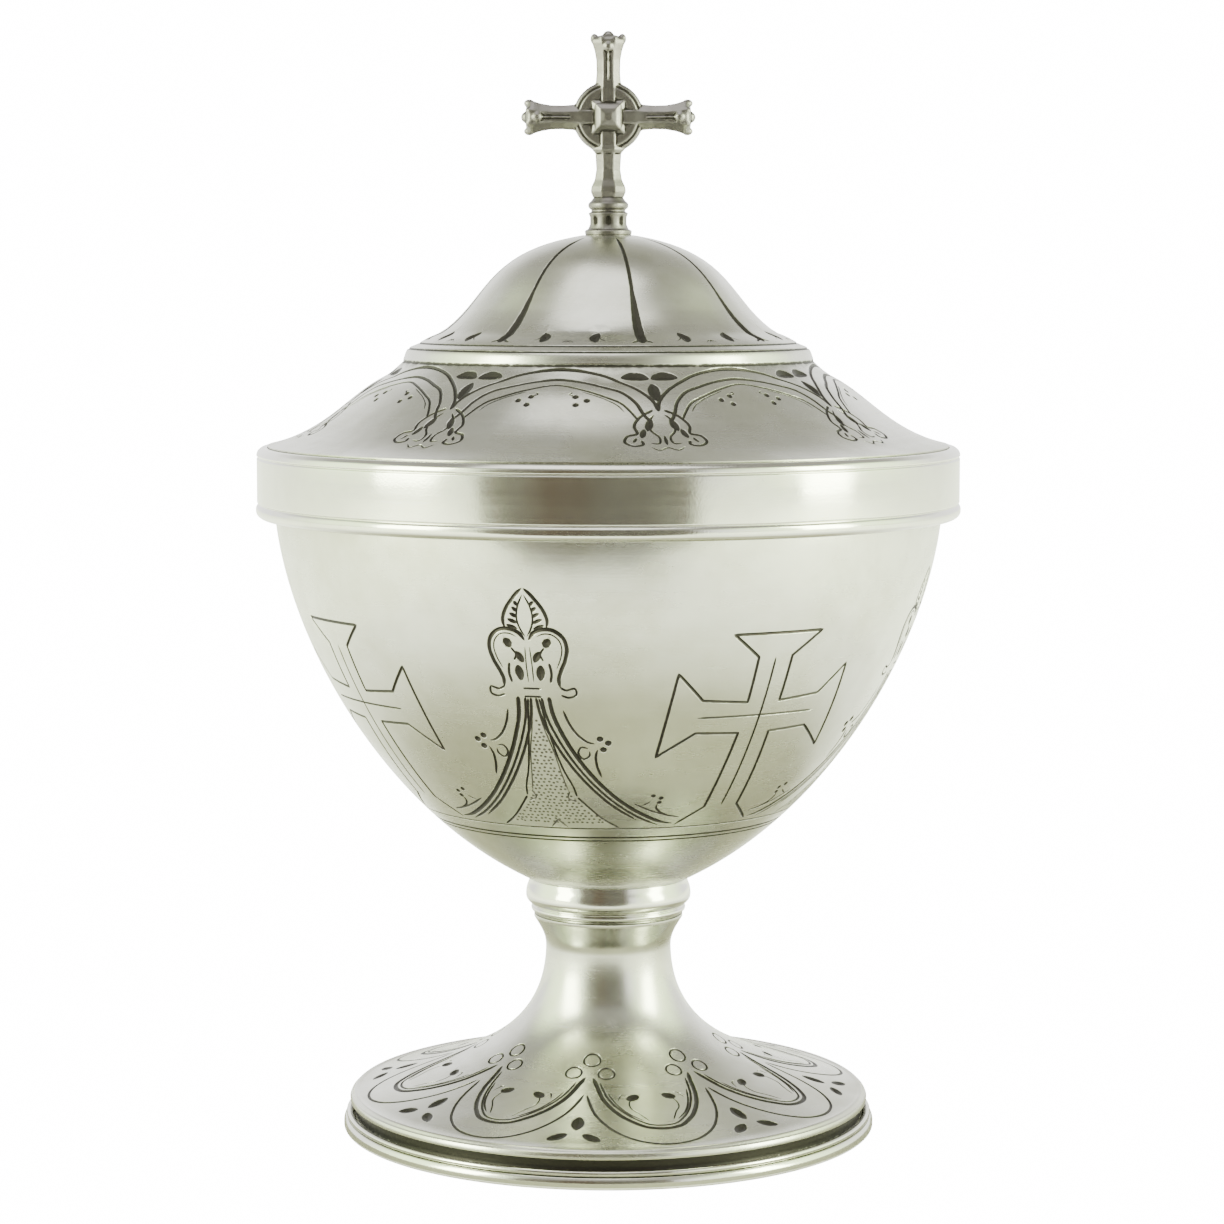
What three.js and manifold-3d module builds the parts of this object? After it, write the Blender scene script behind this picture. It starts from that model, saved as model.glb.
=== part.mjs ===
// Ciborium: a covered church cup on a spun trumpet foot, with a lift-off domed lid and a cast cross.
// Millimetres, +Z up. The origin is at the centre of the foot, on the surface that it stands on.
import * as THREE from "three";
import { mergeVertices } from "three/addons/utils/BufferGeometryUtils.js";
import Module from "manifold-3d";

const wasm = await Module();
wasm.setup();

// Driving dimensions.
const totalHeight = 180;
const footRadius = 44;
const footEdgeRadius = 42.6;
const footEdgeHeight = 5.5;
const footTurnDown = 0.7;
const plinthInnerRadius = 39.5;
const plinthTopHeight = 1.95;
const neckRadius = 10.35;
const neckHeight = 30;
const stemTopRadius = 12.3;
const stemTopHeight = 35.4;
const collarRadius = 13.65;
const collarHeight = 38.6;
const bowlBottomHeight = 41.5;
const bowlBottomRadius = 13.3;
const bowlShoulderRadius = 54.3;
const bowlShoulderHeight = 100.5;
const bowlMouthRadius = 54.9;
const bowlTopHeight = 109.4;
const lipTopHeight = 111;
const bandRadius = 57.5;
const bandInnerRadius = 55.9;
const bandBottomHeight = 101.2;
const bandTopHeight = 112.7;
const lidEdgeRadius = 55.5;
const lidEdgeHeight = 113;
const stepHeight = 125;
const domeFootRadius = 27.3;
const domeFootHeight = 131.2;
const domeTopHeight = 147;
const crossFootHeight = 153.3;
const crossCentreHeight = 165.9;
const crossSpan = 28.8;
const armHubRadius = 2.2;
const armWaistRadius = 1.9;
const webRadius = 5.9;
const webThickness = 2.4;
const bossReach = 3.9;
const bossDepth = 3.4;

const sheet = 0.8;
const linerSheet = 0.5;
const gap = 0.3;
const boreClearance = 0.4;
const studRadius = 2.5;
const stemStudBottom = 10;
const stemWasherHeight = 18;
const stemWasherSheet = 1.2;
const stemNutHeight = 4;
const stemNutAcrossFlats = 9;
const finialStudRadius = 1.4;
const finialStudBottom = 140.8;
const finialWasherTop = 145.2;
const finialStudReach = 4.2;
const finialHoleDepth = 4.4;
const finialWasherRadius = 5;
const finialWasherSheet = 0.8;
const finialNutHeight = 2.4;
const finialNutAcrossFlats = 5.5;

// Facets round each kind of turned piece.
const shellFacets = 32;
const smallFacets = 16;
const fixingFacets = 12;
const webFacets = 24;
const armFacets = 8;

const engravedSilver = material(0xc6c5bb, 0.34, 1);
const polishedSilver = material(0xd2d1c8, 0.2, 1);
const castSilver = material(0xaaa69c, 0.42, 1);
const gilt = material(0xd8a648, 0.25, 1);
const brass = material(0xa98a4d, 0.45, 1);

const ciborium = new THREE.Group();
const base = new THREE.Group();
const lid = new THREE.Group();
ciborium.add(base, lid);

function material(color, roughness, metalness) {
  return new THREE.MeshStandardMaterial({ color, roughness, metalness });
}

function point(radius, height) {
  return new THREE.Vector2(radius, height);
}

// A cubic curve in the (radius, height) half-plane, from one point to another by two handles.
function curve(start, startHandle, endHandle, end, steps) {
  return new THREE.CubicBezierCurve(start, startHandle, endHandle, end).getPoints(steps);
}

// A circular arc in the (radius, height) half-plane. Angles are in degrees from the outward direction.
function arc(centre, size, fromAngle, toAngle, steps) {
  const points = [];
  for (let i = 0; i <= steps; i += 1) {
    const angle = THREE.MathUtils.degToRad(fromAngle + ((toAngle - fromAngle) * i) / steps);
    points.push(point(centre.x + size * Math.cos(angle), centre.y + size * Math.sin(angle)));
  }
  return points;
}

// Moves each point of a rising path to its inner side by the thickness of the sheet.
function offset(path, thickness) {
  return path.map((here, i) => {
    const before = path[Math.max(i - 1, 0)];
    const after = path[Math.min(i + 1, path.length - 1)];
    const along = after.clone().sub(before).normalize();
    return point(here.x - along.y * thickness, here.y + along.x * thickness);
  });
}

// Turns a profile about the Z axis. The profile closes on itself, or runs from axis to axis, and
// goes up on the outer side and down on the inner side.
function turned(profile, facets) {
  const closed = profile[0].x > 0 ? [...profile, profile[0].clone()] : profile;
  const geometry = new THREE.LatheGeometry(closed, facets);
  geometry.rotateX(Math.PI / 2);
  return geometry;
}

// A spun sheet that is open at both ends.
function spun(outerPath, thickness, facets) {
  return turned([...outerPath, ...offset(outerPath, thickness).reverse()], facets);
}

// A flat ring or disc with a round hole.
function ring(innerRadius, outerRadius, bottom, top, facets) {
  const profile = [
    point(innerRadius, bottom),
    point(outerRadius, bottom),
    point(outerRadius, top),
    point(innerRadius, top),
  ];
  return turned(profile, facets);
}

// A round rod from one height to another.
function rod(radius, bottom, top, facets) {
  return turned([point(0, bottom), point(radius, bottom), point(radius, top), point(0, top)], facets);
}

// A six-sided nut with a round hole.
function hexNut(acrossFlats, holeRadius, bottom, height) {
  const cornerRadius = acrossFlats / Math.sqrt(3);
  const outline = new THREE.Shape();
  for (let corner = 0; corner < 6; corner += 1) {
    const angle = (corner * Math.PI) / 3;
    const x = cornerRadius * Math.cos(angle);
    const y = cornerRadius * Math.sin(angle);
    if (corner === 0) {
      outline.moveTo(x, y);
    } else {
      outline.lineTo(x, y);
    }
  }
  outline.closePath();
  const hole = new THREE.Path();
  hole.absarc(0, 0, holeRadius, 0, 2 * Math.PI, true);
  outline.holes.push(hole);
  const geometry = new THREE.ExtrudeGeometry(outline, {
    depth: height,
    bevelEnabled: false,
    curveSegments: fixingFacets,
  });
  geometry.translate(0, 0, bottom);
  return geometry;
}

// Joins closed geometries into one body.
function joined(geometries) {
  const body = geometries.map(toSolid).reduce((sum, next) => sum.add(next));
  const mesh = body.getMesh();
  const geometry = new THREE.BufferGeometry();
  geometry.setAttribute("position", new THREE.BufferAttribute(new Float32Array(mesh.vertProperties), 3));
  geometry.setIndex(Array.from(mesh.triVerts));
  geometry.computeVertexNormals();
  return geometry;
}

function toSolid(source) {
  const bare = source.clone();
  bare.deleteAttribute("normal");
  bare.deleteAttribute("uv");
  const merged = mergeVertices(bare, 1e-4);
  const kept = [];
  for (let i = 0; i < merged.index.count; i += 3) {
    const corners = [0, 1, 2].map((k) => merged.index.getX(i + k));
    if (new Set(corners).size === 3) {
      kept.push(...corners);
    }
  }
  return new wasm.Manifold(
    new wasm.Mesh({
      numProp: 3,
      vertProperties: new Float32Array(merged.attributes.position.array),
      triVerts: new Uint32Array(kept),
    }),
  );
}

function addPiece(group, name, geometry, finish) {
  const piece = new THREE.Mesh(geometry, finish);
  piece.name = name;
  group.add(piece);
}

// The spun foot and stem in one sheet: a turned-down edge, a trumpet flare and a narrow neck.
function footShell() {
  const edge = [
    point(footEdgeRadius - 0.1, footEdgeHeight - footTurnDown),
    point(footEdgeRadius + 0.1, footEdgeHeight - 0.2),
  ];
  const flare = curve(
    point(footEdgeRadius - 0.1, footEdgeHeight),
    point(30.5, 10),
    point(neckRadius + 0.2, 11.7),
    point(neckRadius, neckHeight),
    10,
  );
  const throat = curve(
    point(neckRadius, neckHeight),
    point(neckRadius, neckHeight + 2),
    point(stemTopRadius - 0.9, stemTopHeight - 2),
    point(stemTopRadius, stemTopHeight - 0.5),
    3,
  );
  const top = point(stemTopRadius, stemTopHeight);
  return spun([...edge, ...flare, ...throat.slice(1), top], sheet, shellFacets);
}

// The drawn moulding soldered under the foot's edge: a flat plinth that rises to a hollow.
function footRimMoulding() {
  const hollowTop = footEdgeHeight - footTurnDown - gap;
  const profile = [
    point(plinthInnerRadius, 0),
    point(footRadius, 0),
    point(footRadius, plinthTopHeight / 2),
    point(footRadius - 0.5, plinthTopHeight),
    point(footRadius - 1.9, plinthTopHeight),
    point(footRadius - 2.2, plinthTopHeight + 0.6),
    point(footEdgeRadius - 0.9, hollowTop),
    point(footEdgeRadius - 2.4, hollowTop),
    point(plinthInnerRadius, plinthTopHeight),
  ];
  return turned(profile, shellFacets);
}

// The half-round bead wire that lies on the plinth.
function footRimBead() {
  const size = 0.5;
  const inset = 0.95;
  const centre = point(footRadius - inset, plinthTopHeight + gap + size);
  return turned(arc(centre, size, -90, 198, 6), shellFacets);
}

// The turned collar between the stem and the bowl.
function collarKnop() {
  const bottom = stemTopHeight + gap;
  const top = bowlBottomHeight - gap;
  const profile = [
    point(studRadius + boreClearance, bottom),
    point(stemTopRadius, bottom),
    point(stemTopRadius + 0.5, bottom + 0.4),
    point(stemTopRadius + 0.6, bottom + 0.9),
    ...arc(point(collarRadius - 2.2, collarHeight), 2.2, -38, 38, 4),
    point(collarRadius - 0.2, top),
    point(studRadius + boreClearance, top),
  ];
  return turned(profile, shellFacets);
}

// Outer surface of the bowl, from its flat bottom to its mouth.
function bowlPath() {
  const belly = curve(
    point(15.2, bowlBottomHeight + 1),
    point(36.4, 53.7),
    point(51.8, 79.5),
    point(bowlShoulderRadius, bowlShoulderHeight),
    10,
  );
  return [point(bowlBottomRadius, bowlBottomHeight), ...belly, point(bowlMouthRadius, bowlTopHeight)];
}

// A cup that is closed at the bottom, between an outer path and the same path moved inwards.
function cup(outerPath, thickness) {
  const floor = outerPath[0].y;
  const innerPath = offset(outerPath, thickness).filter((p) => p.y > floor + thickness + 0.2);
  const innerFloorRadius = innerPath[0].x - 1.5;
  return [
    point(0, floor),
    ...outerPath,
    ...innerPath.reverse(),
    point(innerFloorRadius, floor + thickness),
    point(0, floor + thickness),
  ];
}

function bowlShell() {
  return turned(cup(bowlPath(), sheet), shellFacets);
}

// The thin gilt cup that lines the bowl.
function bowlLiner() {
  const bottom = bowlBottomHeight + sheet + gap;
  const wall = offset(bowlPath(), sheet + gap).filter((p) => p.y > bottom + 0.6);
  return turned(cup([point(bowlBottomRadius - 1.5, bottom), ...wall], linerSheet), shellFacets);
}

// The rounded wire that stiffens the mouth of the bowl. The lid rests on it.
function bowlLip() {
  const bottom = bowlTopHeight + gap;
  const inner = bowlMouthRadius - 1.9;
  const profile = [
    point(inner, bottom),
    point(bowlMouthRadius + 0.1, bottom),
    point(bowlMouthRadius + 0.1, lipTopHeight - 0.5),
    point(bowlMouthRadius - 0.4, lipTopHeight),
    point(inner + 0.5, lipTopHeight),
    point(inner, lipTopHeight - 0.5),
  ];
  return turned(profile, shellFacets);
}

// The lid's sheet: a slope with a hollow S-curve, a rounded step and a dome with a hole at its top.
function lidShell() {
  const slope = curve(
    point(lidEdgeRadius, lidEdgeHeight),
    point(45.8, 115.2),
    point(42.2, 121.5),
    point(36.2, 124.2),
    6,
  );
  const step = curve(
    point(33.9, stepHeight + 0.9),
    point(33.3, stepHeight + 2.6),
    point(31.6, stepHeight + 4.6),
    point(27.8, stepHeight + 6),
    4,
  );
  const dome = curve(
    point(domeFootRadius, domeFootHeight),
    point(19.6, 136.3),
    point(20.5, 144.3),
    point(4.2, domeTopHeight - 0.1),
    8,
  );
  const top = point(finialStudRadius + boreClearance, domeTopHeight);
  return spun([...slope, ...step, ...dome.slice(1), top], sheet, shellFacets);
}

// The deep polished band round the lid, rolled in at its lower edge, that slips down over the bowl.
function lidRimBand() {
  const roll = 2;
  const corner = 1.2;
  const profile = [
    point(bandInnerRadius - 0.4, bandBottomHeight + 0.1),
    ...arc(point(bandRadius - roll, bandBottomHeight + roll), roll, -82, 0, 4),
    ...arc(point(bandRadius - corner, bandTopHeight - corner), corner, 0, 90, 3),
    point(bandInnerRadius, bandTopHeight),
    point(bandInnerRadius, bandBottomHeight + 2.2),
    point(bandInnerRadius - 0.4, bandBottomHeight + 1.6),
  ];
  return turned(profile, shellFacets);
}

// The flat ring inside the lid that sits on the bowl's lip.
function lidSeatRing() {
  const top = lidEdgeHeight - sheet - gap + 0.2;
  return ring(bowlMouthRadius - 3.2, bandInnerRadius - gap, lipTopHeight + gap, top, shellFacets);
}

// The turned foot of the finial: a flare, a neck and a ring, with a blind hole for the stud.
function finialPedestal() {
  const bottom = domeTopHeight + gap;
  const holeRadius = finialStudRadius + boreClearance;
  const holeTop = bottom + finialHoleDepth;
  const profile = [
    point(0, holeTop),
    point(holeRadius, holeTop),
    point(holeRadius, bottom),
    point(4.1, bottom),
    point(3.6, bottom + 0.8),
    point(3, bottom + 2.2),
    ...arc(point(1.9, bottom + 4), 1.35, -52, 52, 4),
    point(2.4, crossFootHeight - gap),
    point(0, crossFootHeight - gap),
  ];
  return turned(profile, smallFacets);
}

// One arm of the cross, eight-sided: it narrows to a waist and flares to a pointed crown.
function crossArm(length) {
  const crown = 3.4;
  const profile = [
    point(0, 0),
    point(armHubRadius, 0),
    point(armWaistRadius, length / 2),
    point(2.1, length - crown - 1.6),
    point(2.9, length - crown + 1.2),
    point(2.5, length - 0.9),
    point(0, length),
  ];
  return turned(profile, armFacets);
}

// The cast cross: four arms, a round web between them and a square pointed boss on each face.
function finialCross() {
  const halfSpan = crossSpan / 2;
  const upper = crossArm(totalHeight - crossCentreHeight);
  const right = crossArm(halfSpan).rotateY(Math.PI / 2);
  const left = crossArm(halfSpan).rotateY(-Math.PI / 2);
  const lowerLength = crossCentreHeight - crossFootHeight;
  const lowerProfile = [
    point(0, 0),
    point(armHubRadius, 0),
    point(armWaistRadius, 7),
    point(2.6, lowerLength),
    point(0, lowerLength),
  ];
  const lower = turned(lowerProfile, armFacets).rotateX(Math.PI);
  const web = new THREE.CylinderGeometry(webRadius, webRadius, webThickness, webFacets);
  const boss = new THREE.OctahedronGeometry(1, 0);
  boss.scale(bossReach, bossDepth, bossReach);
  boss.rotateY(Math.PI / 4);
  const body = joined([upper, right, left, lower, web, boss]);
  body.translate(0, 0, crossCentreHeight);
  return body;
}

// The rod that runs from the pedestal through the dome.
function finialStud() {
  return rod(finialStudRadius, finialStudBottom, domeTopHeight + finialStudReach, fixingFacets);
}

// The rod that hangs from the bowl's bottom through the collar and the stem.
function stemStud() {
  return rod(studRadius, stemStudBottom, bowlBottomHeight - gap, fixingFacets);
}

// The dished washer that bears up inside the flare of the foot.
function stemWasher() {
  const hub = studRadius + boreClearance;
  const profile = [
    point(hub, stemWasherHeight - stemWasherSheet),
    point(6.2, stemWasherHeight - stemWasherSheet),
    point(12.4, stemWasherHeight - 2.8),
    point(13, stemWasherHeight - 2),
    point(6.2, stemWasherHeight),
    point(hub, stemWasherHeight),
  ];
  return turned(profile, smallFacets);
}

function stemNut() {
  const bottom = stemWasherHeight - stemWasherSheet - gap - stemNutHeight;
  return hexNut(stemNutAcrossFlats, studRadius + boreClearance, bottom, stemNutHeight);
}

function finialWasher() {
  const bottom = finialWasherTop - finialWasherSheet;
  return ring(finialStudRadius + boreClearance, finialWasherRadius, bottom, finialWasherTop, smallFacets);
}

function finialNut() {
  const bottom = finialWasherTop - finialWasherSheet - gap - finialNutHeight;
  return hexNut(finialNutAcrossFlats, finialStudRadius + boreClearance, bottom, finialNutHeight);
}

addPiece(base, "foot_shell", footShell(), engravedSilver);
addPiece(base, "foot_rim_moulding", footRimMoulding(), polishedSilver);
addPiece(base, "foot_rim_bead", footRimBead(), polishedSilver);
addPiece(base, "collar_knop", collarKnop(), polishedSilver);
addPiece(base, "bowl_shell", bowlShell(), engravedSilver);
addPiece(base, "bowl_gilt_liner", bowlLiner(), gilt);
addPiece(base, "bowl_lip_ring", bowlLip(), gilt);
addPiece(base, "stem_stud", stemStud(), brass);
addPiece(base, "stem_washer", stemWasher(), brass);
addPiece(base, "stem_nut", stemNut(), brass);
addPiece(lid, "lid_shell", lidShell(), engravedSilver);
addPiece(lid, "lid_rim_band", lidRimBand(), polishedSilver);
addPiece(lid, "lid_seat_ring", lidSeatRing(), polishedSilver);
addPiece(lid, "finial_pedestal", finialPedestal(), castSilver);
addPiece(lid, "finial_cross", finialCross(), castSilver);
addPiece(lid, "finial_stud", finialStud(), brass);
addPiece(lid, "finial_washer", finialWasher(), brass);
addPiece(lid, "finial_nut", finialNut(), brass);

export default ciborium;
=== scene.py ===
# Looks of the ciborium: engraved silver sheet, polished mouldings, cast cross, gilt lining.
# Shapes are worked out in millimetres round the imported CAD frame, then scaled to metres.
import math
import random

import bmesh
import bpy
import numpy as np
from mathutils import Matrix, Vector
from mathutils.geometry import delaunay_2d_cdt


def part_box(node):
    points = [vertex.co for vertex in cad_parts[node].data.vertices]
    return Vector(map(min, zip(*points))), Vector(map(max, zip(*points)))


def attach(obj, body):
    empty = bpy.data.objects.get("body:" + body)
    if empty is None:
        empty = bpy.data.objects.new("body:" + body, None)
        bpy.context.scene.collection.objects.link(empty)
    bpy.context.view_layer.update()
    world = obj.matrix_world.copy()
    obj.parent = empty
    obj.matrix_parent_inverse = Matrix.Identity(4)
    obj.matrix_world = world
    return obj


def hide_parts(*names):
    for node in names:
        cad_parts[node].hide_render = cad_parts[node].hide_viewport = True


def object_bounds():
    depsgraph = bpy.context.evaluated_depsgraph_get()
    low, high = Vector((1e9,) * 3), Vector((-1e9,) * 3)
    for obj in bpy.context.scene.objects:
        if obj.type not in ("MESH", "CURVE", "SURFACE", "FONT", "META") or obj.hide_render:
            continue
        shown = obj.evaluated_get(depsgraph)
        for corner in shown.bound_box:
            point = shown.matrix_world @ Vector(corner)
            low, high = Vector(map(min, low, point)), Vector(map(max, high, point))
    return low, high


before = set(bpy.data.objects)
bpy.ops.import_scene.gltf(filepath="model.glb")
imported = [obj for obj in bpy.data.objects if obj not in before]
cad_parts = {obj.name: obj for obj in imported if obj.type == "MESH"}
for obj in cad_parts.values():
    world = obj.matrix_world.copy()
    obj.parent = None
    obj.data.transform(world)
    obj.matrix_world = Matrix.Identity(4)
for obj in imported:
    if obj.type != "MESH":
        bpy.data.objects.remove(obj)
cad_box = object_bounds()

MM = 0.001
SHEET = 0.8           # silver sheet of the foot, bowl and lid
LINER_SHEET = 0.5
GAP = 0.3             # between the bowl and its lining
STEM_HOLE = 2.9       # radius of the holes for the stud under the bowl
FINIAL_HOLE = 1.8     # radius of those for the stud under the cross
SEAM = 0.35           # what closes the frame's gap where castings are soldered together
ROUND = 192           # divisions round every large turned piece
SMALL_ROUND = 96      # divisions round the small ones
WELD = 0.001          # points closer than this become one
OUTLINE_STEP = 0.05   # between the points of a wall's outline
CUT_STEP = 0.36       # between those of an engraved line
ROW_STEP = 1.2        # between those on the straight sides of an engraved sector
LATTICE = 1.7         # between the loose points on the plain wall of a sector
LATTICE_CLEAR = 0.45  # how far the loose points keep from a cut
FAINT_CUT = 0.03      # a share of a cut's depth that counts as none
SLIVER = 1e-7         # triangles of a smaller area are left out
MAIN_LINE = 0.27      # half-width and depth of the graver's usual cut
MAIN_DEPTH = 0.17
SCRATCH_LINE = 0.13   # the same for its faintest
SCRATCH_DEPTH = 0.08

random.seed(11)


# ---------------------------------------------------------------- outlines

class Room:
    """The space of one round CAD node: points are placed in from its rim and up from its underside."""

    def __init__(self, node):
        low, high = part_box(node)
        self.radius = (high.x - low.x) / 2 / MM
        self.bottom = low.z / MM
        self.top = high.z / MM

    def at(self, inward, up):
        """A point of an outline: radius and height."""
        return (self.radius - inward, self.bottom + up)

    def section(self, *corners):
        """A closed outline through corners of (inward, up, fillet)."""
        return filleted([(*self.at(inward, up), fillet) for inward, up, fillet in corners])


def bend(start, start_handle, end_handle, end, steps=80):
    """A cubic curve between two points of an outline."""
    t = np.linspace(0, 1, steps + 1)[:, None]
    corners = [np.array(p, float) for p in (start, start_handle, end_handle, end)]
    weights = [(1 - t) ** 3, 3 * t * (1 - t) ** 2, 3 * t**2 * (1 - t), t**3]
    return sum(w * p for w, p in zip(weights, corners))


def along(points):
    """Distance of each point of a path from its start."""
    steps = np.hypot(*np.diff(points, axis=0).T)
    return np.concatenate([[0], np.cumsum(steps)])


def evenly(points, step):
    """The path again, with points at even steps."""
    points = np.array(points, float)
    s = along(points)
    count = max(2, int(round(s[-1] / step)) + 1)
    marks = np.linspace(0, s[-1], count)
    return np.column_stack([np.interp(marks, s, points[:, k]) for k in (0, 1)])


def eased(points, reach):
    """An even path with its kinks rounded over about the given reach; its ends stay."""
    size = int(reach / OUTLINE_STEP) | 1
    kernel = np.hanning(size + 2)[1:-1]
    kernel /= kernel.sum()
    half = size // 2
    eased_points = points.copy()
    for k in (0, 1):
        before = 2 * points[0, k] - points[half:0:-1, k]
        after = 2 * points[-1, k] - points[-2:-half - 2:-1, k]
        eased_points[:, k] = np.convolve(np.concatenate([before, points[:, k], after]), kernel, "valid")
    return eased_points


def filleted(corners, steps=5):
    """A closed outline of (radius, height, fillet) corners, each rounded by an arc-like curve."""
    outline = []
    count = len(corners)
    for i, (r, z, fillet) in enumerate(corners):
        here = np.array((r, z))
        if fillet <= 0:
            outline.append(here)
            continue
        for step in range(steps + 1):
            t = step / steps
            ends = []
            for other in (corners[i - 1], corners[(i + 1) % count]):
                way = np.array(other[:2]) - here
                ends.append(here + way / np.hypot(*way) * min(fillet, np.hypot(*way) * 0.49))
            outline.append((1 - t) ** 2 * ends[0] + 2 * t * (1 - t) * here + t**2 * ends[1])
    return np.array(outline)


class Wall:
    """The outer side of a turned sheet, by the distance s along its outline.

    A turning is (s, half-width, height, grime_and_shade): a bead where height is above 0, a groove below.
    The last darkens the colour along the turning: dirt in a groove, and on the lid's step also a painted
    dark reflection."""

    def __init__(self, outline, turnings=(), ease=0.0):
        base = evenly(outline, OUTLINE_STEP)
        if ease:
            base = eased(base, ease)
        self.s = along(base)
        self.length = self.s[-1]
        normal = self._outward(base)
        height = np.zeros(len(base))
        self.dirt_and_shade = np.zeros(len(base))
        for place, half, rise, grime_and_shade in turnings:
            shape = np.cos(np.clip((self.s - place) / half, -1, 1) * math.pi / 2) ** 2
            height += rise * shape
            self.dirt_and_shade = np.maximum(self.dirt_and_shade, grime_and_shade * shape)
        self.points = base + normal * height[:, None]
        self.normals = self._outward(self.points)
        self.base = base
        middle = (base[1:, 0] + base[:-1, 0]) / 2
        self.stretch = np.concatenate([[0], np.cumsum(np.diff(self.s) / middle)])

    def _outward(self, points):
        way = np.gradient(points, self.s, axis=0)
        way /= np.hypot(*way.T)[:, None]
        return np.column_stack([way[:, 1], -way[:, 0]])

    def radius(self, s):
        return np.interp(s, self.s, self.base[:, 0])

    def to_map(self, s):
        """Height of s on the wall's map, on which angles are true (as on Mercator's)."""
        return np.interp(s, self.s, self.stretch)

    def from_map(self, height):
        return np.interp(height, self.stretch, self.s)

    def place(self, theta, s, depth):
        """Points, normals and grime of the wall at these angles and distances, cut in by a depth."""
        r, z = (np.interp(s, self.s, self.points[:, k]) for k in (0, 1))
        out, up = (np.interp(s, self.s, self.normals[:, k]) for k in (0, 1))
        points = turned_points(theta, r - depth * out, z - depth * up)
        normals = turned_points(theta, out, up)
        return points, normals, np.interp(s, self.s, self.dirt_and_shade)


def turned_points(theta, r, z):
    """Angles run from the side that faces the camera (-Y) towards +X."""
    return np.column_stack([r * np.sin(theta), -r * np.cos(theta), z + 0 * theta])


# ---------------------------------------------------------------- the graver's cuts

class Cut:
    """One engraved line on a wall's map, with its half-width and depth at every point."""

    def __init__(self, theta, s, half, depth, closed=False):
        self.theta = theta
        self.s = s
        self.half = half
        self.depth = depth
        self.closed = closed

    def shifted(self, angle):
        return Cut(self.theta + angle, self.s, self.half, self.depth, self.closed)


class Pen:
    """Draws cuts round a centre line. Across is in millimetres, or in degrees if so made."""

    def __init__(self, wall, centre, degrees=False):
        self.wall = wall
        self.centre = math.radians(centre)
        self.degrees = degrees
        self.cuts = []
        self.patches = []

    def theta(self, across, s):
        if self.degrees:
            return self.centre + np.radians(across)
        return self.centre + across / self.wall.radius(s)

    def line(self, knots, half=MAIN_LINE, depth=MAIN_DEPTH, straight=False, closed=False,
             taper=(1.2, 1.2), aside=0.0, leaf=False, step=CUT_STEP):
        """Cuts a line through knots of (across, s). A leaf swells to its full width at its middle."""
        knots = np.array(knots + knots[:1] if closed else knots, float)
        theta = self.theta(knots[:, 0], knots[:, 1])
        middle = float(np.mean(self.wall.radius(knots[:, 1])))
        flat = np.column_stack([theta * middle, knots[:, 1]])
        path = straight_path(flat, step) if straight else smooth_path(flat, step, closed)
        if aside:
            way = np.gradient(path, axis=0)
            way /= np.hypot(*way.T)[:, None]
            path = path + np.column_stack([-way[:, 1], way[:, 0]]) * aside
        run = along(path)
        shape = np.ones(len(path))
        if leaf:
            shape = np.maximum(np.sin(math.pi * run / run[-1]), 0) ** 0.8
        elif not closed:
            for reach, distance in zip(taper, (run, run[-1] - run)):
                if reach:
                    shape *= np.clip(distance / reach, 0, 1) ** 0.6
        if closed:
            path, shape = path[:-1], shape[:-1]
        shape = np.where(shape < 0.02, 0, shape)
        self.cuts.append(Cut(path[:, 0] / middle, path[:, 1], half * shape, depth * shape, closed))

    def both(self, knots, **style):
        """Cuts a line and its mirror image across the centre line."""
        aside = style.pop("aside", 0.0)
        self.line(knots, aside=aside, **style)
        self.line([(-x, s) for x, s in knots], aside=-aside, **style)

    def across(self, knots, **style):
        """Cuts one line from the mirror image's end, through the knots' start, to their end."""
        self.line([(-x, s) for x, s in knots[:0:-1]] + knots, **style)

    def leaves(self, knots, half, depth=0.28, step=0.2):
        """A swelling cut and its mirror image."""
        self.both(knots, half=half, depth=depth, leaf=True, step=step)

    def scratches(self, knots, half=SCRATCH_LINE, aside=0.0):
        """A faint line and its mirror image."""
        self.both(knots, half=half, depth=SCRATCH_DEPTH, aside=aside)

    def pit(self, across, s, radius, depth=0.22):
        """A round punch mark."""
        theta = float(self.theta(np.array(across), np.array(s)))
        self.cuts.append(Cut(np.array([theta]), np.array([float(s)]), np.array([radius]),
                             np.array([depth])))

    def matted(self, outline):
        """An area roughened with a matting punch."""
        knots = np.array(outline, float)
        self.patches.append(np.column_stack([self.theta(knots[:, 0], knots[:, 1]), knots[:, 1]]))


def straight_path(knots, step):
    """A path of straight lines through knots."""
    parts = [evenly(knots[i:i + 2], step)[:-1] for i in range(len(knots) - 1)]
    return np.vstack(parts + [knots[-1:]])


def smooth_path(knots, step, closed=False):
    """A curve through knots, with each knot's slope from its neighbours."""
    if closed:
        knots = np.vstack([knots[-3:-1], knots, knots[1:3]])
    t = along(knots)
    slope = np.gradient(knots, t, axis=0)
    first, last = (t[2], t[-3]) if closed else (t[0], t[-1])
    marks = np.linspace(first, last, max(4, int((last - first) / step) + 2))
    k = np.clip(np.searchsorted(t, marks, side="right") - 1, 0, len(t) - 2)
    span = (t[k + 1] - t[k])[:, None]
    u = ((marks - t[k])[:, None]) / span
    return ((2 * u**3 - 3 * u**2 + 1) * knots[k] + (u**3 - 2 * u**2 + u) * span * slope[k]
            + (3 * u**2 - 2 * u**3) * knots[k + 1] + (u**3 - u**2) * span * slope[k + 1])


def inside(outline, points):
    """Which points lie in a closed outline."""
    x, y = points.T
    odd = np.zeros(len(points), bool)
    for (x0, y0), (x1, y1) in zip(outline, np.roll(outline, -1, axis=0)):
        crosses = (y0 > y) != (y1 > y)
        rise = y1 - y0 if y1 != y0 else 1e-12
        odd ^= crosses & (x < (x1 - x0) * (y - y0) / rise + x0)
    return odd


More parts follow.
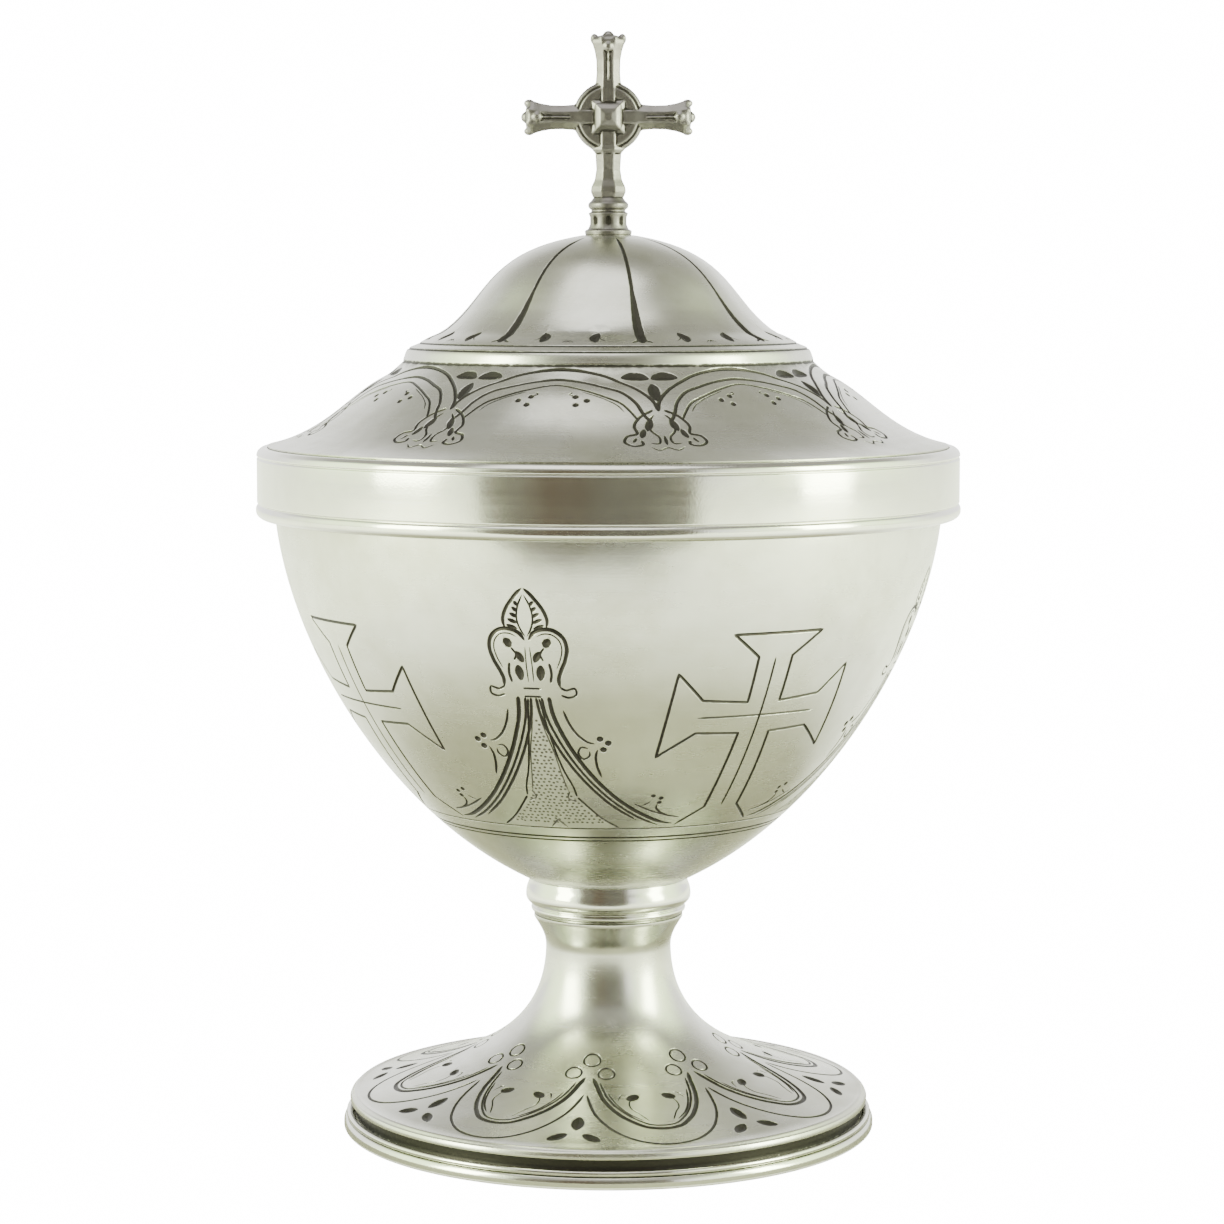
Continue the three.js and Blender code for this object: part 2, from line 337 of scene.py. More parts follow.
def cut_measure(wall, theta, s, cuts):
    """At each point: clearance from the nearest cut's edge, depth of the cut there, and its share.

    The share is 1 where a cut is at its full depth and 0 outside every cut."""
    clear = np.full(len(theta), 1e3)
    depth = np.zeros(len(theta))
    share = np.zeros(len(theta))
    height = wall.to_map(s)
    radius = wall.radius(s)
    for cut in cuts:
        cut_height = wall.to_map(cut.s)
        margin = (cut.half.max() + 1.2) / wall.radius(cut.s).min()
        near = np.flatnonzero(
            (theta > cut.theta.min() - margin) & (theta < cut.theta.max() + margin)
            & (height > cut_height.min() - margin) & (height < cut_height.max() + margin))
        if not len(near):
            continue
        knots = np.column_stack([cut.theta, cut_height, cut.half, cut.depth])
        if cut.closed:
            knots = np.vstack([knots, knots[:1]])
        if len(knots) == 1:
            knots = np.vstack([knots, knots])
        here = np.column_stack([theta[near], height[near]])
        a, b = knots[:-1], knots[1:]
        way = b[:, :2] - a[:, :2]
        size = np.maximum((way**2).sum(1), 1e-18)
        t = np.clip(((here[:, None] - a[None, :, :2]) * way).sum(2) / size, 0, 1)
        foot = a[None, :, :2] + t[..., None] * way
        distance = np.sqrt(((here[:, None] - foot) ** 2).sum(2)) * radius[near][:, None]
        half = a[None, :, 2] + t * (b - a)[None, :, 2]
        deep = a[None, :, 3] + t * (b - a)[None, :, 3]
        part = np.clip(1 - distance / np.maximum(half, 1e-6), 0, 1)
        part[part < FAINT_CUT] = 0
        part *= np.clip(half / 0.1, 0, 1)
        clear[near] = np.minimum(clear[near], (distance - half).min(1))
        depth[near] = np.maximum(depth[near], (part * deep).max(1))
        share[near] = np.maximum(share[near], part.max(1))
    return clear, depth, share


class Chart:
    """Points and fixed edges of a wall's map, gathered for one triangulation."""

    def __init__(self):
        self.points = []
        self.edges = []

    def chain(self, points, closed=False):
        start = len(self.points)
        self.points += [tuple(p) for p in points]
        count = len(points)
        self.edges += [(start + i, start + i + 1) for i in range(count - 1)]
        if closed and count > 2:
            self.edges.append((start + count - 1, start))

    def loose(self, points):
        self.points += [tuple(p) for p in points]


def chart_cut(chart, wall, cut):
    """Adds a cut's bottom and its two edges, which lean in where the cut narrows."""
    centre = np.column_stack([cut.theta, wall.to_map(cut.s)])
    width = cut.half / wall.radius(cut.s)
    if len(centre) == 1:
        turn = np.linspace(0, 2 * math.pi, 9)[:-1]
        rim = centre + np.column_stack([np.cos(turn), np.sin(turn)]) * width
        chart.chain(rim, closed=True)
        chart.loose(centre)
        return
    if cut.closed:
        way = np.roll(centre, -1, axis=0) - np.roll(centre, 1, axis=0)
    else:
        way = np.gradient(centre, axis=0)
    pace = np.maximum(np.hypot(*way.T), 1e-12)
    way /= pace[:, None]
    lean = np.zeros(len(width)) if cut.closed else np.clip(np.gradient(width) / pace, -0.9, 0.9)
    across = np.column_stack([-way[:, 1], way[:, 0]]) * (width * np.sqrt(1 - lean**2))[:, None]
    back = way * (width * lean)[:, None]
    chart.chain(centre, cut.closed)
    for side in (-1, 1):
        chart.chain(centre + side * across - back, cut.closed)


def cuts_in_sector(pens, wall, half):
    """Every cut that reaches into the sector, with those of the sectors on either side."""
    own = [cut for pen in pens for cut in pen.cuts]
    cuts = []
    for turn in (-2 * half, 0, 2 * half):
        for cut in own:
            moved = cut.shifted(turn)
            reach = moved.half.max() / wall.radius(moved.s).min()
            if moved.theta.max() + reach > -half and moved.theta.min() - reach < half:
                cuts.append(moved)
    return cuts


def sector_border(wall, start, end, half, columns):
    """The sector's outline on the map, with the points that its neighbours have too."""
    angles = np.linspace(-half, half, columns + 1)
    rows = np.linspace(start, end, int((end - start) / ROW_STEP) + 1)
    low, high = wall.to_map(start), wall.to_map(end)
    border = [(a, low) for a in angles]
    border += [(half, wall.to_map(s)) for s in rows[1:-1]]
    border += [(a, high) for a in angles[::-1]]
    border += [(-half, wall.to_map(s)) for s in rows[-2:0:-1]]
    return border


def sector_lattice(wall, start, end, half, cuts):
    """Loose points on the map that keep the plain wall's triangles even."""
    lattice = []
    rows = np.linspace(start, end, int((end - start) / (LATTICE * 0.87)) + 1)[1:-1]
    for i, s in enumerate(rows):
        count = max(3, int(2 * half * wall.radius(s) / LATTICE))
        offset = 0.5 if i % 2 else 0.0
        lattice += [(-half + 2 * half * (k + 0.5 + offset * 0.5) / count, s) for k in range(count)]
    lattice = np.array(lattice)
    lattice = lattice[lattice[:, 0] < half * 0.985]
    clear, _, _ = cut_measure(wall, lattice[:, 0], lattice[:, 1], cuts)
    lattice = lattice[clear > LATTICE_CLEAR]
    return np.column_stack([lattice[:, 0], wall.to_map(lattice[:, 1])])


def triangulated(chart, scale, half, low, high):
    """Points and triangles of a chart, inside the sector only and all facing outwards."""
    flat = [Vector((a * scale, h * scale)) for a, h in chart.points]
    found = delaunay_2d_cdt(flat, chart.edges, [], 0, 1e-6)
    points = np.array([tuple(p) for p in found[0]]) / scale
    faces = np.array([tuple(f) for f in found[2]])
    centroid = points[faces].mean(1)
    kept = ((np.abs(centroid[:, 0]) < half) & (centroid[:, 1] > low) & (centroid[:, 1] < high))
    faces = faces[kept]
    a, b, c = (points[faces[:, k]] for k in range(3))
    ab, ac = b - a, c - a
    area = ab[:, 0] * ac[:, 1] - ab[:, 1] * ac[:, 0]
    faces[area < 0] = faces[area < 0][:, ::-1]
    return points, faces[np.abs(area) * scale**2 > SLIVER]


def engraved_sector(wall, folds, start, end, pens):
    """Triangles of one sector of an engraved wall: angle, s, depth, share of depth, faces, matting."""
    half = math.pi / folds
    cuts = cuts_in_sector(pens, wall, half)
    chart = Chart()
    chart.chain(sector_border(wall, start, end, half, ROUND // folds), closed=True)
    for cut in cuts:
        chart_cut(chart, wall, cut)
    chart.loose(sector_lattice(wall, start, end, half, cuts))
    scale = float(wall.radius((start + end) / 2))
    points, faces = triangulated(chart, scale, half, wall.to_map(start), wall.to_map(end))
    theta, s = points[:, 0], wall.from_map(points[:, 1])
    _, depth, share = cut_measure(wall, theta, s, cuts)
    centroid = np.column_stack([theta, s])[faces].mean(1)
    matte = np.zeros(len(faces))
    for patch in [patch for pen in pens for patch in pen.patches]:
        for turn in (-2 * half, 0, 2 * half):
            matte[inside(patch + (turn, 0), centroid)] = 1
    return theta, s, depth, share, faces, matte


# ---------------------------------------------------------------- meshes

class Skin:
    """Patches of one piece, welded into one closed mesh with true wall normals."""

    def __init__(self, phase=0.0):
        self.phase = phase
        self.points = []
        self.normals = []
        self.grime_and_shade = []
        self.sunk = []
        self.faces = []
        self.matte = []
        self.on_wall = []
        self.count = 0

    def add(self, points, faces, normals=None, grime_and_shade=None, sunk=None, matte=None):
        none = np.zeros(len(points))
        self.points.append(points)
        self.normals.append(np.zeros((len(points), 3)) if normals is None else normals)
        self.grime_and_shade.append(none if grime_and_shade is None else grime_and_shade)
        self.sunk.append(none if sunk is None else sunk)
        self.matte.append(np.zeros(len(faces)) if matte is None else matte)
        self.on_wall.append(np.full(len(faces), normals is not None))
        if faces.shape[1] == 3:
            faces = np.column_stack([faces, faces[:, 2]])
        self.faces.append(faces + self.count)
        self.count += len(points)

    def grid(self, wall, start, end, step):
        """A plain stretch of a wall."""
        rows = np.linspace(start, end, max(2, int(math.ceil((end - start) / step)) + 1))
        theta = np.tile(np.arange(ROUND) * 2 * math.pi / ROUND + self.phase, len(rows))
        s = np.repeat(rows, ROUND)
        points, normals, grime_and_shade = wall.place(theta, s, np.zeros(len(s)))
        self.add(points, grid_faces(len(rows), ROUND), normals, grime_and_shade)

    def engraved(self, wall, folds, start, end, pens):
        """An engraved stretch of a wall, the same sector all the way round."""
        theta, s, depth, share, faces, matte = engraved_sector(wall, folds, start, end, pens)
        for k in range(folds):
            angle = theta + self.phase + math.pi / folds + 2 * math.pi * k / folds
            points, normals, grime_and_shade = wall.place(angle, s, depth)
            self.add(points, faces, normals, np.maximum(grime_and_shade, share), share, matte)

    def lining(self, path, rings=ROUND, grime_and_shade=0.0):
        """The rest of a section: round the rim, back along the inner side and round the foot."""
        path = np.array(path)
        theta = np.tile(np.arange(rings) * 2 * math.pi / rings + self.phase, len(path))
        points = turned_points(theta, np.repeat(path[:, 0], rings), np.repeat(path[:, 1], rings))
        self.add(points, grid_faces(len(path), rings), grime_and_shade=np.full(len(points), grime_and_shade))

    def build(self, name, body, finish, nodes, sharp=32):
        points = np.vstack(self.points)
        first, merged = weld(points)
        faces = merged[np.vstack(self.faces)]
        sides = [list(dict.fromkeys(f)) for f in faces.tolist()]
        kept = [i for i, f in enumerate(sides) if len(f) > 2]
        mesh = bpy.data.meshes.new(name)
        mesh.from_pydata((points[first] * MM).tolist(), [], [sides[i] for i in kept])
        grime_and_shade = mesh.attributes.new("grime_and_shade", "FLOAT", "POINT")
        grime_and_shade.data.foreach_set("value", np.concatenate(self.grime_and_shade)[first].astype(np.float32))
        matte = mesh.attributes.new("matte", "FLOAT", "FACE")
        matte.data.foreach_set("value", np.concatenate(self.matte)[kept].astype(np.float32))
        mesh.shade_smooth()
        mesh.set_sharp_from_angle(angle=math.radians(sharp))
        self._set_normals(mesh, np.vstack(self.normals)[first], np.concatenate(self.sunk)[first],
                          np.concatenate(self.on_wall)[kept])
        piece = bpy.data.objects.new(name, mesh)
        finish_piece(piece, body, finish, nodes)
        return piece

    def _set_normals(self, mesh, wall_normals, sunk, on_wall):
        """Plain wall gets the outline's own normals; the flanks of the cuts stay flat."""
        if not on_wall.any():
            return
        loops = len(mesh.loops)
        corner = np.zeros(loops * 3, np.float32)
        mesh.corner_normals.foreach_get("vector", corner)
        corner = corner.reshape(-1, 3)
        vertex = np.zeros(loops, np.int32)
        mesh.loops.foreach_get("vertex_index", vertex)
        totals = np.zeros(len(mesh.polygons), np.int32)
        mesh.polygons.foreach_get("loop_total", totals)
        flat = np.zeros(len(mesh.polygons) * 3, np.float32)
        mesh.polygons.foreach_get("normal", flat)
        face_of = np.repeat(np.arange(len(totals)), totals)
        cut = np.zeros(len(totals), bool)
        np.logical_or.at(cut, face_of, sunk[vertex] > 0)
        on_corner = on_wall[face_of]
        plain = on_corner & ~cut[face_of]
        corner[plain] = wall_normals[vertex[plain]]
        flank = on_corner & cut[face_of]
        corner[flank] = flat.reshape(-1, 3)[face_of[flank]]
        mesh.normals_split_custom_set(corner.tolist())


def weld(points):
    """Makes one point of those in one place: the kept points, and each point's number among them.

    The second grid is half a cell off, for points that lie on either side of a cell's border."""
    kept = np.arange(len(points))
    number = np.arange(len(points))
    for shift in (0.0, 0.5):
        cells = np.round(points[kept] / WELD + shift).astype(np.int64)
        _, first, merged = np.unique(cells, axis=0, return_index=True, return_inverse=True)
        number = merged.reshape(-1)[number]
        kept = kept[first]
    return kept, number


def grid_faces(rows, rings):
    """Quads of a grid that closes on itself round the axis."""
    i = np.arange(rows - 1)[:, None] * rings
    j = np.arange(rings)[None, :]
    k = (j + 1) % rings
    return np.stack([i + j, i + k, i + rings + k, i + rings + j], axis=2).reshape(-1, 4)


def finish_piece(piece, body, finish, nodes):
    """Puts a piece in the scene, on its body, in place of its CAD nodes."""
    bpy.context.scene.collection.objects.link(piece)
    piece.data.materials.append(finish)
    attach(piece, body)
    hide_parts(*nodes)


def turned_piece(name, outline, body, finish, nodes, rings=ROUND, grime_and_shade=None):
    """A piece turned from one closed outline; grime_and_shade darkens its colour at each of its points:
    dirt, and in the foot's hollow painted shade.
    """
    skin = Skin()
    closed = np.vstack([outline, outline[:1]])
    skin.lining(closed, rings)
    if grime_and_shade is not None:
        skin.grime_and_shade[0] = np.repeat(np.append(grime_and_shade, grime_and_shade[:1]), rings)
    return skin.build(name, body, finish, nodes)


def inner_side(wall, thickness, from_s, to_s, step=1.5):
    """Points of the wall's inner side, from one s to another."""
    count = max(2, int(abs(to_s - from_s) / step) + 1)
    marks = np.linspace(from_s, to_s, count)
    r, z = (np.interp(marks, wall.s, wall.base[:, k]) for k in (0, 1))
    normal = np.column_stack([np.interp(marks, wall.s, wall.normals[:, k]) for k in (0, 1)])
    return np.column_stack([r, z]) - normal * thickness


# ---------------------------------------------------------------- materials

class Nodes:
    """Short words for building one node tree."""

    def __init__(self, owner, shader="Principled BSDF", coordinates="Object"):
        self.owner = owner
        self.owner.use_nodes = True
        self.tree = self.owner.node_tree
        self.shader = self.tree.nodes[shader]
        self.where = self.tree.nodes.new("ShaderNodeTexCoord").outputs[coordinates]

    def new(self, kind, **settings):
        node = self.tree.nodes.new(kind)
        for key, value in settings.items():
            setattr(node, key, value)
        return node

    def wire(self, value, socket):
        if isinstance(value, bpy.types.NodeSocket):
            self.tree.links.new(value, socket)
        else:
            socket.default_value = value

    def noise(self, scale, detail=3.0, rough=0.55, where=None, distortion=0.0):
        node = self.new("ShaderNodeTexNoise")
        self.wire(where or self.where, node.inputs["Vector"])
        node.inputs["Scale"].default_value = scale
        node.inputs["Detail"].default_value = detail
        node.inputs["Roughness"].default_value = rough
        node.inputs["Distortion"].default_value = distortion
        return node.outputs["Fac"]

    def stretched(self, factors, turn=(0, 0, 0)):
        """Place turned by some angles, then stretched along its own axes."""
        node = self.new("ShaderNodeMapping", vector_type="TEXTURE")
        self.wire(self.where, node.inputs["Vector"])
        node.inputs["Scale"].default_value = [1 / f for f in factors]
        node.inputs["Rotation"].default_value = turn
        return node.outputs["Vector"]

    def spun(self, scale):
        """Radius and height of a place, stretched by scale, for marks that run round the piece."""
        flat = self.new("ShaderNodeVectorMath", operation="MULTIPLY")
        self.wire(self.where, flat.inputs[0])
        flat.inputs[1].default_value = (1, 1, 0)
        size = self.new("ShaderNodeVectorMath", operation="LENGTH")
        self.wire(flat.outputs["Vector"], size.inputs[0])
        split = self.new("ShaderNodeSeparateXYZ")
        self.wire(self.where, split.inputs[0])
        joint = self.new("ShaderNodeCombineXYZ")
        self.wire(self.times(size.outputs["Value"], scale), joint.inputs[0])
        self.wire(self.times(split.outputs["Z"], scale), joint.inputs[1])
        return joint.outputs[0]

    def math(self, operation, a, b=0.0, clamp=False):
        node = self.new("ShaderNodeMath", operation=operation, use_clamp=clamp)
        self.wire(a, node.inputs[0])
        self.wire(b, node.inputs[1])
        return node.outputs[0]

    def times(self, a, b):
        return self.math("MULTIPLY", a, b)

    def plus(self, a, b, clamp=False):
        return self.math("ADD", a, b, clamp)

    def span(self, value, low, high, to_low=0.0, to_high=1.0):
        node = self.new("ShaderNodeMapRange", clamp=True)
        self.wire(value, node.inputs["Value"])
        for key, number in zip(("From Min", "From Max", "To Min", "To Max"),
                               (low, high, to_low, to_high)):
            self.wire(number, node.inputs[key])
        return node.outputs["Result"]

    def blend(self, share, a, b):
        node = self.new("ShaderNodeMix", data_type="RGBA")
        self.wire(share, node.inputs["Factor"])
        self.wire(a, node.inputs[6])
        self.wire(b, node.inputs[7])
        return node.outputs[2]

    def attribute(self, name):
        return self.new("ShaderNodeAttribute", attribute_name=name).outputs["Fac"]

    def bump(self, height, distance, strength=1.0, normal=None):
        node = self.new("ShaderNodeBump")
        self.wire(height, node.inputs["Height"])
        node.inputs["Distance"].default_value = distance
        node.inputs["Strength"].default_value = strength
        if normal is not None:
            self.wire(normal, node.inputs["Normal"])
        return node.outputs["Normal"]

    def finish(self, colour, metallic, roughness, normal=None):
        for name, value in (("Base Color", colour), ("Metallic", metallic), ("Roughness", roughness)):
            self.wire(value, self.shader.inputs[name])
        if normal is not None:
            self.wire(normal, self.shader.inputs["Normal"])
        return self.owner


# Dark colour of dirt in the cuts and grooves; the same colour also paints shade in the foot's hollow and
# a dark reflection line on the lid's step.
SOOT_AND_SHADE = (0.020, 0.018, 0.015, 1)
SPECK = (0.33, 0.31, 0.27, 1)
MATTED = (0.30, 0.29, 0.27, 1)


def silver(name, clean, tarnish, tarnish_share, gloss, scratch=1.0, wavy=1.0):
    """Old silver: cloudy tarnish, wiped highlights, hairline scratches, dark dirt left in the cuts, and
    the painted shade and painted dark reflection that some pieces carry in grime_and_shade.
    """
    n = Nodes(bpy.data.materials.new(name))
    cloud = n.noise(38, 5, 0.6, distortion=0.4)
    fine_cloud = n.noise(210, 4, 0.65)
    veil = n.span(n.plus(n.times(cloud, 0.7), n.times(fine_cloud, 0.3)), 0.40, 0.66)
    colour = n.blend(n.times(veil, tarnish_share), clean, tarnish)
    specks = n.span(n.noise(1500, 2, 0.5), 0.70, 0.78)
    colour = n.blend(n.times(specks, 0.18), colour, SPECK)
    # grime_and_shade: dirt in the cuts, plus painted shade in the foot's hollow and a painted reflection
    # line on the lid's step.
    dirt_and_shade = n.attribute("grime_and_shade")
    wear = n.span(n.noise(900, 2), 0.3, 0.7, -0.12, 0.12)
    rubbed = n.plus(dirt_and_shade, n.times(wear, n.span(dirt_and_shade, 0.0, 0.3)))
    dark = n.span(rubbed, 0.04, 0.20)
    colour = n.blend(n.times(dark, 0.97), colour, SOOT_AND_SHADE)
    matte = n.attribute("matte")
    colour = n.blend(n.times(matte, 0.22), colour, MATTED)

    wiped = n.span(n.noise(1.0, 5, 0.6, where=n.spun(520)), 0.35, 0.7)
    lengthwise = n.stretched((1, 1, 46), (0.35, 0.5, 0.2))
    long_hair = n.span(n.noise(40, 3, 0.5, where=lengthwise), 0.61, 0.66)
    crosswise = n.stretched((1, 1, 40), (-0.5, -0.35, 0.9))
    cross_hair = n.span(n.noise(36, 3, 0.5, where=crosswise), 0.63, 0.68)
    hairs = n.math("MAXIMUM", long_hair, n.times(cross_hair, 0.7))
    rough = n.plus(n.span(cloud, 0.3, 0.75, gloss - 0.045, gloss + 0.075), n.times(wiped, 0.05))
    rough = n.plus(rough, n.times(hairs, 0.06 * scratch))
    rough = n.plus(rough, n.times(n.math("MAXIMUM", dark, matte), 0.26), clamp=True)
    swell = n.bump(n.noise(55, 2, 0.4), 0.0011 * wavy, 0.35)
    grain = n.plus(n.times(wiped, 0.5), n.times(hairs, scratch))
    grain = n.plus(grain, n.noise(2600, 2, 0.5))
    return n.finish(colour, 1.0, rough, n.bump(grain, 0.000012, 0.5, swell))


def gilding():
    """Fire gilding inside the bowl: warm, a little worn where the vessel is wiped out."""
    n = Nodes(bpy.data.materials.new("gilding"))
    cloud = n.noise(45, 4, 0.6)
    colour = n.blend(n.span(cloud, 0.35, 0.7), (0.86, 0.60, 0.24, 1), (0.78, 0.50, 0.17, 1))
    worn = n.span(n.noise(160, 4, 0.65), 0.60, 0.72)
    colour = n.blend(n.times(worn, 0.5), colour, (0.80, 0.74, 0.58, 1))
    wiped = n.span(n.noise(1.0, 4, 0.6, where=n.spun(480)), 0.35, 0.7)
    rough = n.plus(n.span(cloud, 0.3, 0.7, 0.17, 0.27), n.times(wiped, 0.07))
    return n.finish(colour, 1.0, rough, n.bump(wiped, 0.00001, 0.5, n.bump(n.noise(50, 2), 0.0008, 0.3)))


def old_brass():
    """The fixings: dull brass, brown in patches, and dark in the threads."""
    n = Nodes(bpy.data.materials.new("old_brass"))
    cloud = n.noise(170, 5, 0.6)
    colour = n.blend(n.span(cloud, 0.35, 0.65), (0.52, 0.38, 0.15, 1), (0.24, 0.17, 0.08, 1))
    green = n.span(n.noise(520, 3), 0.62, 0.72)
    colour = n.blend(n.times(green, 0.4), colour, (0.16, 0.20, 0.13, 1))
    dark = n.span(n.attribute("grime_and_shade"), 0.1, 0.8)
    colour = n.blend(dark, colour, (0.06, 0.045, 0.03, 1))
    rough = n.span(n.noise(300, 4), 0.3, 0.7, 0.34, 0.56)
    return n.finish(colour, n.span(green, 0, 1, 1.0, 0.5), rough, n.bump(n.noise(900, 3), 0.00004, 0.6))


def studio_floor():
    """A pale sheet of card with painted light: towards both sides its colour turns a faint green and it
    glows faintly green.
    """
    n = Nodes(bpy.data.materials.new("studio_floor"))
    split = n.new("ShaderNodeSeparateXYZ")
    n.wire(n.where, split.inputs[0])
    # Painted light: a green tint and a glow that grow towards both sides of the card.
    side = n.span(n.math("ABSOLUTE", split.outputs[0]), 0.07, 0.24)
    tone = n.blend(side, (0.85, 0.845, 0.825, 1), (0.89, 0.92, 0.80, 1))
    n.shader.inputs["Emission Color"].default_value = (0.96, 1.0, 0.80, 1)
    n.wire(n.times(side, 1.1), n.shader.inputs["Emission Strength"])
    return n.finish(tone, 0.0, 0.7)


ENGRAVED = silver("engraved_silver", clean=(0.50, 0.505, 0.445, 1), tarnish=(0.35, 0.35, 0.262, 1),
                  tarnish_share=0.72, gloss=0.24, scratch=0.12)
POLISHED = silver("polished_silver", clean=(0.56, 0.565, 0.50, 1), tarnish=(0.42, 0.42, 0.33, 1),
                  tarnish_share=0.5, gloss=0.14, scratch=0.08, wavy=0.5)
CAST = silver("cast_silver", clean=(0.188, 0.179, 0.168, 1), tarnish=(0.088, 0.080, 0.072, 1),
              tarnish_share=0.85, gloss=0.37, wavy=0.6)
GILDING = gilding()
BRASS = old_brass()


# ---------------------------------------------------------------- ornament of the bowl

def tent(pen):
    """A tall tent of curved lines with a leaf finial, one on each side of the bowl."""
    leaf_finial(pen)
    heavy = [(2.4, 47.7), (2.7, 44.3), (3.8, 40.2), (5.6, 35.4), (7.8, 30.9), (10.4, 26.8), (13.6, 23.2),
             (16.2, 21.3), (18.0, 20.8)]
    pen.both(heavy, half=0.42, depth=0.24, taper=(0.6, 4))
    pen.both(heavy[:-1], half=0.27, aside=-0.95, taper=(0.6, 3))
    pen.both(heavy[:-2], half=0.3, aside=-1.75, taper=(0.6, 3))
    pen.both([(0.85, 47.4), (1.6, 41), (2.9, 33), (3.8, 29.5), (4.0, 27.5)], half=0.2, taper=(0.4, 0.4))
    pen.both([(4.0, 27.5), (5.2, 25.4), (7.2, 22.2), (9.3, 19.9)], half=0.22, taper=(0.3, 0.6))
    pen.both([(3.1, 28.9), (2.6, 27.2), (3.9, 26.3)], half=0.16, taper=(0.3, 0.3))
    pen.scratches([(0.35, 46.4), (0.9, 42), (1.75, 37.7), (2.5, 31.5), (2.9, 28.4)])
    pen.line([(-1.5, 49.1), (1.5, 49.1)], half=0.2, straight=True, taper=(0.2, 0.2))
    pen.line([(-1.5, 47.65), (1.5, 47.65)], half=0.2, straight=True, taper=(0.2, 0.2))
    pen.line([(-1.4, 19.9), (-0.5, 21.2), (0, 21.9), (0.5, 21.2), (1.4, 19.9)], half=0.2)
    side_sprig(pen)
    foot_sprig(pen)
    matting(pen, [(0, 46), (1.6, 38.2), (2.9, 30.5), (3.4, 27.3), (6.3, 23.2), (8.6, 20.2),
                  (-8.6, 20.2), (-6.3, 23.2), (-3.4, 27.3), (-2.9, 30.5), (-1.6, 38.2)])


def leaf_finial(pen):
    """A pointed leaf over two lobes that end in curls."""
    blade = [(0, 65.9), (0.8, 65.2), (1.9, 63.9), (3.0, 62.2), (3.45, 60.6), (3.2, 59.3)]
    pen.both(blade, half=0.34, depth=0.2)
    pen.both([(0.05, 64.9), (0.95, 62.9), (1.25, 61), (0.8, 59.2), (0.05, 57.9)], half=0.17)
    for i in range(5):
        s = 63.6 - 0.95 * i
        reach = 1.5 + 0.42 * i if i < 4 else 3.0
        pen.leaves([(0.95 + 0.05 * i, s - 0.55), (reach, s + 0.15)], half=0.36, depth=0.22)
    lobe = [(0.25, 57.3), (1.1, 58.6), (2.4, 59.2), (4.2, 59.1), (5.6, 57.9), (6.05, 56.2), (5.7, 54.3),
            (4.8, 52.2), (4.3, 50.6), (4.4, 49.2)]
    pen.both(lobe, half=0.38, depth=0.22)
    pen.scratches(lobe[1:-2], aside=-0.75)
    pen.both([(4.2, 49.5), (5.2, 48.9), (6.6, 49.2), (6.7, 48.1), (5.6, 47.6), (4.3, 48.0)], half=0.22,
             taper=(0.3, 0.3), step=0.25)
    pen.leaves([(3.4, 57.5), (2.7, 56.4)], half=0.8)
    pen.both([(2.6, 56.2), (1.9, 54.9), (2.3, 53.9)], half=0.2, taper=(0.3, 0.3), step=0.25)
    pen.leaves([(1.9, 55.5), (0.8, 53.7)], half=0.68, depth=0.26)
    pen.leaves([(1.8, 53.2), (1.5, 50.5)], half=0.8)
    pen.both([(3.1, 53.6), (3.3, 51.6), (3.0, 50.1)], half=0.26, taper=(0.4, 0.4), step=0.25)
    pen.scratches([(0.35, 56.5), (0.45, 53.0), (0.4, 50.0)], half=0.12)


def side_sprig(pen):
    """A three-lobed bud on a forked stalk at each flank of the tent."""
    for x, s in ((9.3, 39.85), (10.45, 39.05), (9.55, 37.75)):
        for side in (-1, 1):
            pen.pit(side * x, s, 0.66, 0.26)
    pen.both([(8.5, 38.9), (7.4, 39.2), (6.2, 40.3), (5.0, 42.6), (4.3, 45.4)], half=0.25, depth=0.16)
    pen.both([(8.7, 37.9), (8.2, 36.4), (8.1, 34.6), (8.5, 31.8)], half=0.25, depth=0.16)
    curl = [(7.4, 37.9), (6.3, 38.2), (5.6, 37.0), (6.3, 35.8), (7.2, 36.4), (7.4, 37.6)]
    pen.both(curl, half=0.22, depth=0.14)


def foot_sprig(pen):
    """A smaller bud near each foot of the tent."""
    for x, s in ((15.9, 27.7), (17.0, 27.1), (16.6, 26.1)):
        for side in (-1, 1):
            pen.pit(side * x, s, 0.5, 0.2)
    pen.both([(16.3, 26.0), (15.9, 24.9), (16.4, 23.7), (17.6, 23.0)], half=0.24, depth=0.15)
    pen.both([(15.4, 26.6), (14.4, 25.8), (13.4, 25.4)], half=0.22, depth=0.14)
    pen.both([(12.4, 26.1), (14.6, 24.4), (17.2, 23.0), (19.4, 22.3)], half=0.22, depth=0.14)


def matting(pen, outline, spacing=0.78):
    """Close rows of small punch marks, jittered by hand."""
    pen.matted(outline)
    corners = np.array(outline, float)
    low, high = corners.min(0), corners.max(0)
    centre = corners.mean(0)
    shrunk = centre + (corners - centre) * 0.93
    rows = int((high[1] - low[1]) / spacing)
    for j in range(rows):
        columns = int((high[0] - low[0]) / spacing)
        for i in range(columns):
            x = low[0] + (i + 0.5 + 0.5 * (j % 2) + random.uniform(-0.2, 0.2)) * spacing
            s = low[1] + (j + 0.5 + random.uniform(-0.2, 0.2)) * spacing
            if inside(shrunk, np.array([[x, s]]))[0]:
                pen.pit(x, s, 0.27, 0.07)


def cross_pattee(pen):
    """A plain outlined cross with flared arms, between the tents."""
    right = [(6.6, 20.4), (3.0, 24.5), (2.8, 40.2), (10.1, 40.6), (15.0, 36.1), (15.6, 51.6),
             (10.6, 46.7), (2.9, 46.0), (3.05, 54.0), (8.0, 58.0)]
    left = [(-x, s) for x, s in reversed(right)]
    pen.line(right + left, half=0.29, straight=True, taper=(1.5, 1.5))
    pen.line([(0, 54), (0, 24.5)], half=0.22, straight=True)
    pen.line([(-10.8, 43.5), (10.8, 43.5)], half=0.22, straight=True)


# ---------------------------------------------------------------- ornament of the lid and the foot

